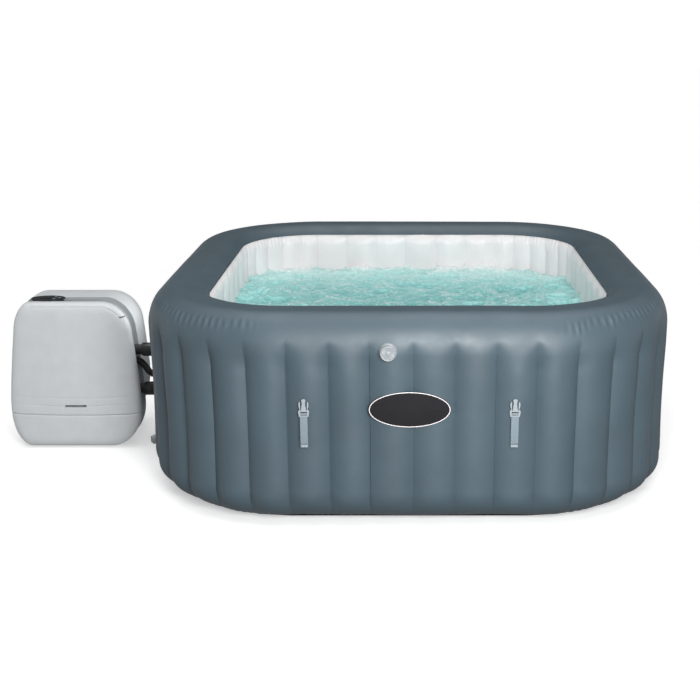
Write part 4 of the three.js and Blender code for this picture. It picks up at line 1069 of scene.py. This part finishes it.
def strap_on(side, node, body, foot_z):
    """A strap that hangs from its buckle, with a hem and two rows of stitching at its end. The hem is a lighter
    copy of the tape, a painted highlight; the stitching is a darker copy, real stitch rows that also carry the
    painted shadow line above the hem.
    """
    (low, high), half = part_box(node), 0.0118
    middle, front = (low.x + high.x) / 2, low.y

    def bar(name, half, front, bottom, back, top, radius, **kind):
        corners = (middle - half, front, bottom), (middle + half, back, top)
        return rounded_bar(name, *corners, "webbing", body, radius, **kind)

    bottom, top = low.z + 0.001, foot_z + 0.0015
    strap = bar("strap_tape_" + side, half, front, bottom, front + 0.0016, top, 0.0007, replaces=[node])
    # painted highlight: the hem's lighter webbing stands in for the light caught by the folded end
    hem_painted_highlight = (0.0106, front - 0.0014, low.z + 0.0004, front + 0.0004, low.z + 0.0076, 0.0008)
    on_strap = [bar("strap_hem_" + side, *hem_painted_highlight, material=MATERIALS["hem_painted_highlight"])]
    # real stitch rows in a darker webbing, which also paints the shadow line above the hem
    for k, up in enumerate((0.0092, 0.0118)):
        row = (0.0116, front - 0.0004, low.z + up, front + 0.0003, low.z + up + 0.0009, 0.0003)
        on_strap.append(bar("strap_stitch_%s_%d" % (side, k), *row, material=MATERIALS["stitch_painted_shade"]))


for side in ("left", "right"):
    node, body = "cover_buckle_" + side, "cover_clip_" + side
    foot_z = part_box(node)[1].z - PLUG_HEIGHT
    plug_buckle(side, node, body, middle_of(node)[0], foot_z)
    strap_on(side, "cover_strap_" + side, body, foot_z)

# The valve's neck and the skirt behind the cap: radius, and distance behind the face.
NECK = (
    (0.0272, 0.0240), (0.0272, 0.0014), (0.0266, 0.0006), (0.0178, 0.0005),
    (0.0172, 0.0), (0.0104, 0.0), (0.0100, 0.0006), (0.0100, 0.0250),
)
neck_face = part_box("air_valve_body")[0].y
round_face("valve_neck", "air_valve_body", [(r, neck_face + back) for r, back in NECK], "tub")

cap_low, cap_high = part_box("air_valve_cap")
cap_r, cap_y = (cap_high.x - cap_low.x) / 2, cap_low.y
cap_rings = [(cap_r, cap_high.y - 0.010), (cap_r, cap_y + 0.004)]
cap_rings += [(cap_r - 0.0008, cap_y + 0.0014), (cap_r - 0.003, cap_y + 0.0004)]
cap_rings += [(cap_r - 0.0045, cap_y + 0.0006), (cap_r - 0.0052, cap_y + 0.0022)]
cap_rings += [(r, cap_y + 0.0024) for r in np.linspace(cap_r - 0.0062, 0.0086, 10)]
cap_rings += [(0.0078, cap_y + 0.0012), (0.0066, cap_y + 0.0006)]
cap_rings += [(0.003, cap_y + 0.0004), (0.0001, cap_y + 0.0004)]
cap_ribs = (24, 0.0014, 0.0088, cap_r - 0.0060)
round_face("valve_cap_ribbed", "air_valve_cap", cap_rings, "air_valve_cap", cap_ribs)

# ---------------------------------------------------------------- floor and light

WHITE = (1.0, 1.0, 1.0, 1.0)
FLOOR_REACH, FLOOR_GLOW = 40, 0.40
DOME_RADIUS, DOME_ROWS, DOME_COLUMNS, DOME_DROP = 38, 16, 48, 0.5


def staging(name, points, faces, look, unseen_by):
    """A backdrop, which isn't part of the object, left out of the named kinds of ray."""
    mesh = bpy.data.meshes.new(name)
    mesh.from_pydata(points, [], faces)
    mesh.materials.append(look.material)
    made = placed(name, mesh)
    for ray in unseen_by:
        setattr(made, "visible_" + ray, False)


# The floor is pale to the camera, and its bounce light is the dimmer lower half of the studio.
floor_look = Shader(
    "floor", Roughness=0.95, Specular_IOR_Level=0.0, Emission_Color=WHITE, Emission_Strength=FLOOR_GLOW
)
mottle = floor_look.ranged(floor_look.noise(3, 3), 0, 1)
floor_look.link(floor_look.mixed(mottle, (0.82, 0.82, 0.82, 1), (0.84, 0.84, 0.84, 1)), "Base Color")
floor_points = [(x * FLOOR_REACH, y * FLOOR_REACH, 0) for x, y in ((-1, -1), (1, -1), (1, 1), (-1, 1))]
staging("floor", floor_points, [(0, 1, 2, 3)], floor_look, ("glossy", "diffuse"))

# A white dome that only the camera sees, so that low views have the photograph's plain background.
dome_points = []
for e in np.radians(np.linspace(0, 89, DOME_ROWS)):
    for a in np.radians(np.arange(0, 360, 360 / DOME_COLUMNS)):
        flat, up = DOME_RADIUS * math.cos(e), DOME_RADIUS * math.sin(e)
        dome_points.append((flat * math.cos(a), flat * math.sin(a), up - DOME_DROP))
dome_faces = grid_faces(DOME_ROWS, DOME_COLUMNS, wrap=True)
dome_faces.append(tuple(range(len(dome_points) - DOME_COLUMNS, len(dome_points))))
dome_look = Shader("dome", Roughness=1.0, Specular_IOR_Level=0.0, Emission_Color=WHITE, Emission_Strength=1.0)
not_camera = ("glossy", "diffuse", "transmission", "shadow", "volume_scatter")
staging("dome", dome_points, dome_faces, dome_look, not_camera)

# The studio: white at the horizon, dimmer above and below, and darkest overhead at the back.
WORLD_FRONT, WORLD_BACK, WORLD_SIDE, WORLD_BELOW = 0.36, 0.10, 0.42, 0.34  # brightness off the horizon
world = bpy.data.worlds.new("world")
world.use_nodes = True
sky = world.node_tree
split = sky.nodes.new("ShaderNodeSeparateXYZ")
sky.links.new(sky.nodes.new("ShaderNodeTexCoord").outputs["Generated"], split.inputs[0])
above = map_range(sky, split.outputs["Y"], -0.7, 0.5, WORLD_FRONT, WORLD_BACK)
sideways = sky.nodes.new("ShaderNodeMath")
sideways.operation = "ABSOLUTE"
sky.links.new(split.outputs["X"], sideways.inputs[0])
above = map_range(sky, sideways.outputs[0], 0.35, 0.8, above, WORLD_SIDE)
below = map_range(sky, split.outputs["Z"], -0.08, -0.05, WORLD_BELOW, 1.0)
strength = map_range(sky, split.outputs["Z"], 0.018, 0.05, below, above)
sky.links.new(strength, sky.nodes["Background"].inputs["Strength"])
sky.nodes["Background"].inputs["Color"].default_value = WHITE
bpy.context.scene.world = world


def lamp(name, kind, place, target, power, **values):
    light = bpy.data.lights.new(name, kind)
    light.energy = power
    for key, value in values.items():
        setattr(light, key, value)
    made = placed(name, light)
    made.location = place
    made.rotation_euler = (Vector(target) - Vector(place)).to_track_quat("-Z", "Y").to_euler()
    made.visible_camera = False


def panel(name, place, target, power, size, size_y):
    lamp(name, "AREA", place, target, power, shape="RECTANGLE", size=size, size_y=size_y)


# The tub's front, the pump unit, the gap between the two, and everything from above.
panel("key", (0.38, -2.8, 1.20), (0.30, -0.9, 0.6), 57, size=1.0, size_y=0.85)
beam = {"spot_size": math.radians(23), "spot_blend": 0.8, "shadow_soft_size": 0.6}
lamp("softbox", "SPOT", (-0.35, -2.2, 2.3), (-1.24, -0.1, 0.36), 108, **beam)
panel("gap_fill", (-0.93, -0.05, 0.52), (-1.06, -0.04, 0.44), 0.36, size=0.30, size_y=0.22)
lamp("ceiling", "SUN", (0, 0.4, 5), (0, 0, 0), 1.38, angle=math.radians(60))
bpy.context.scene.view_settings.view_transform = "Standard"
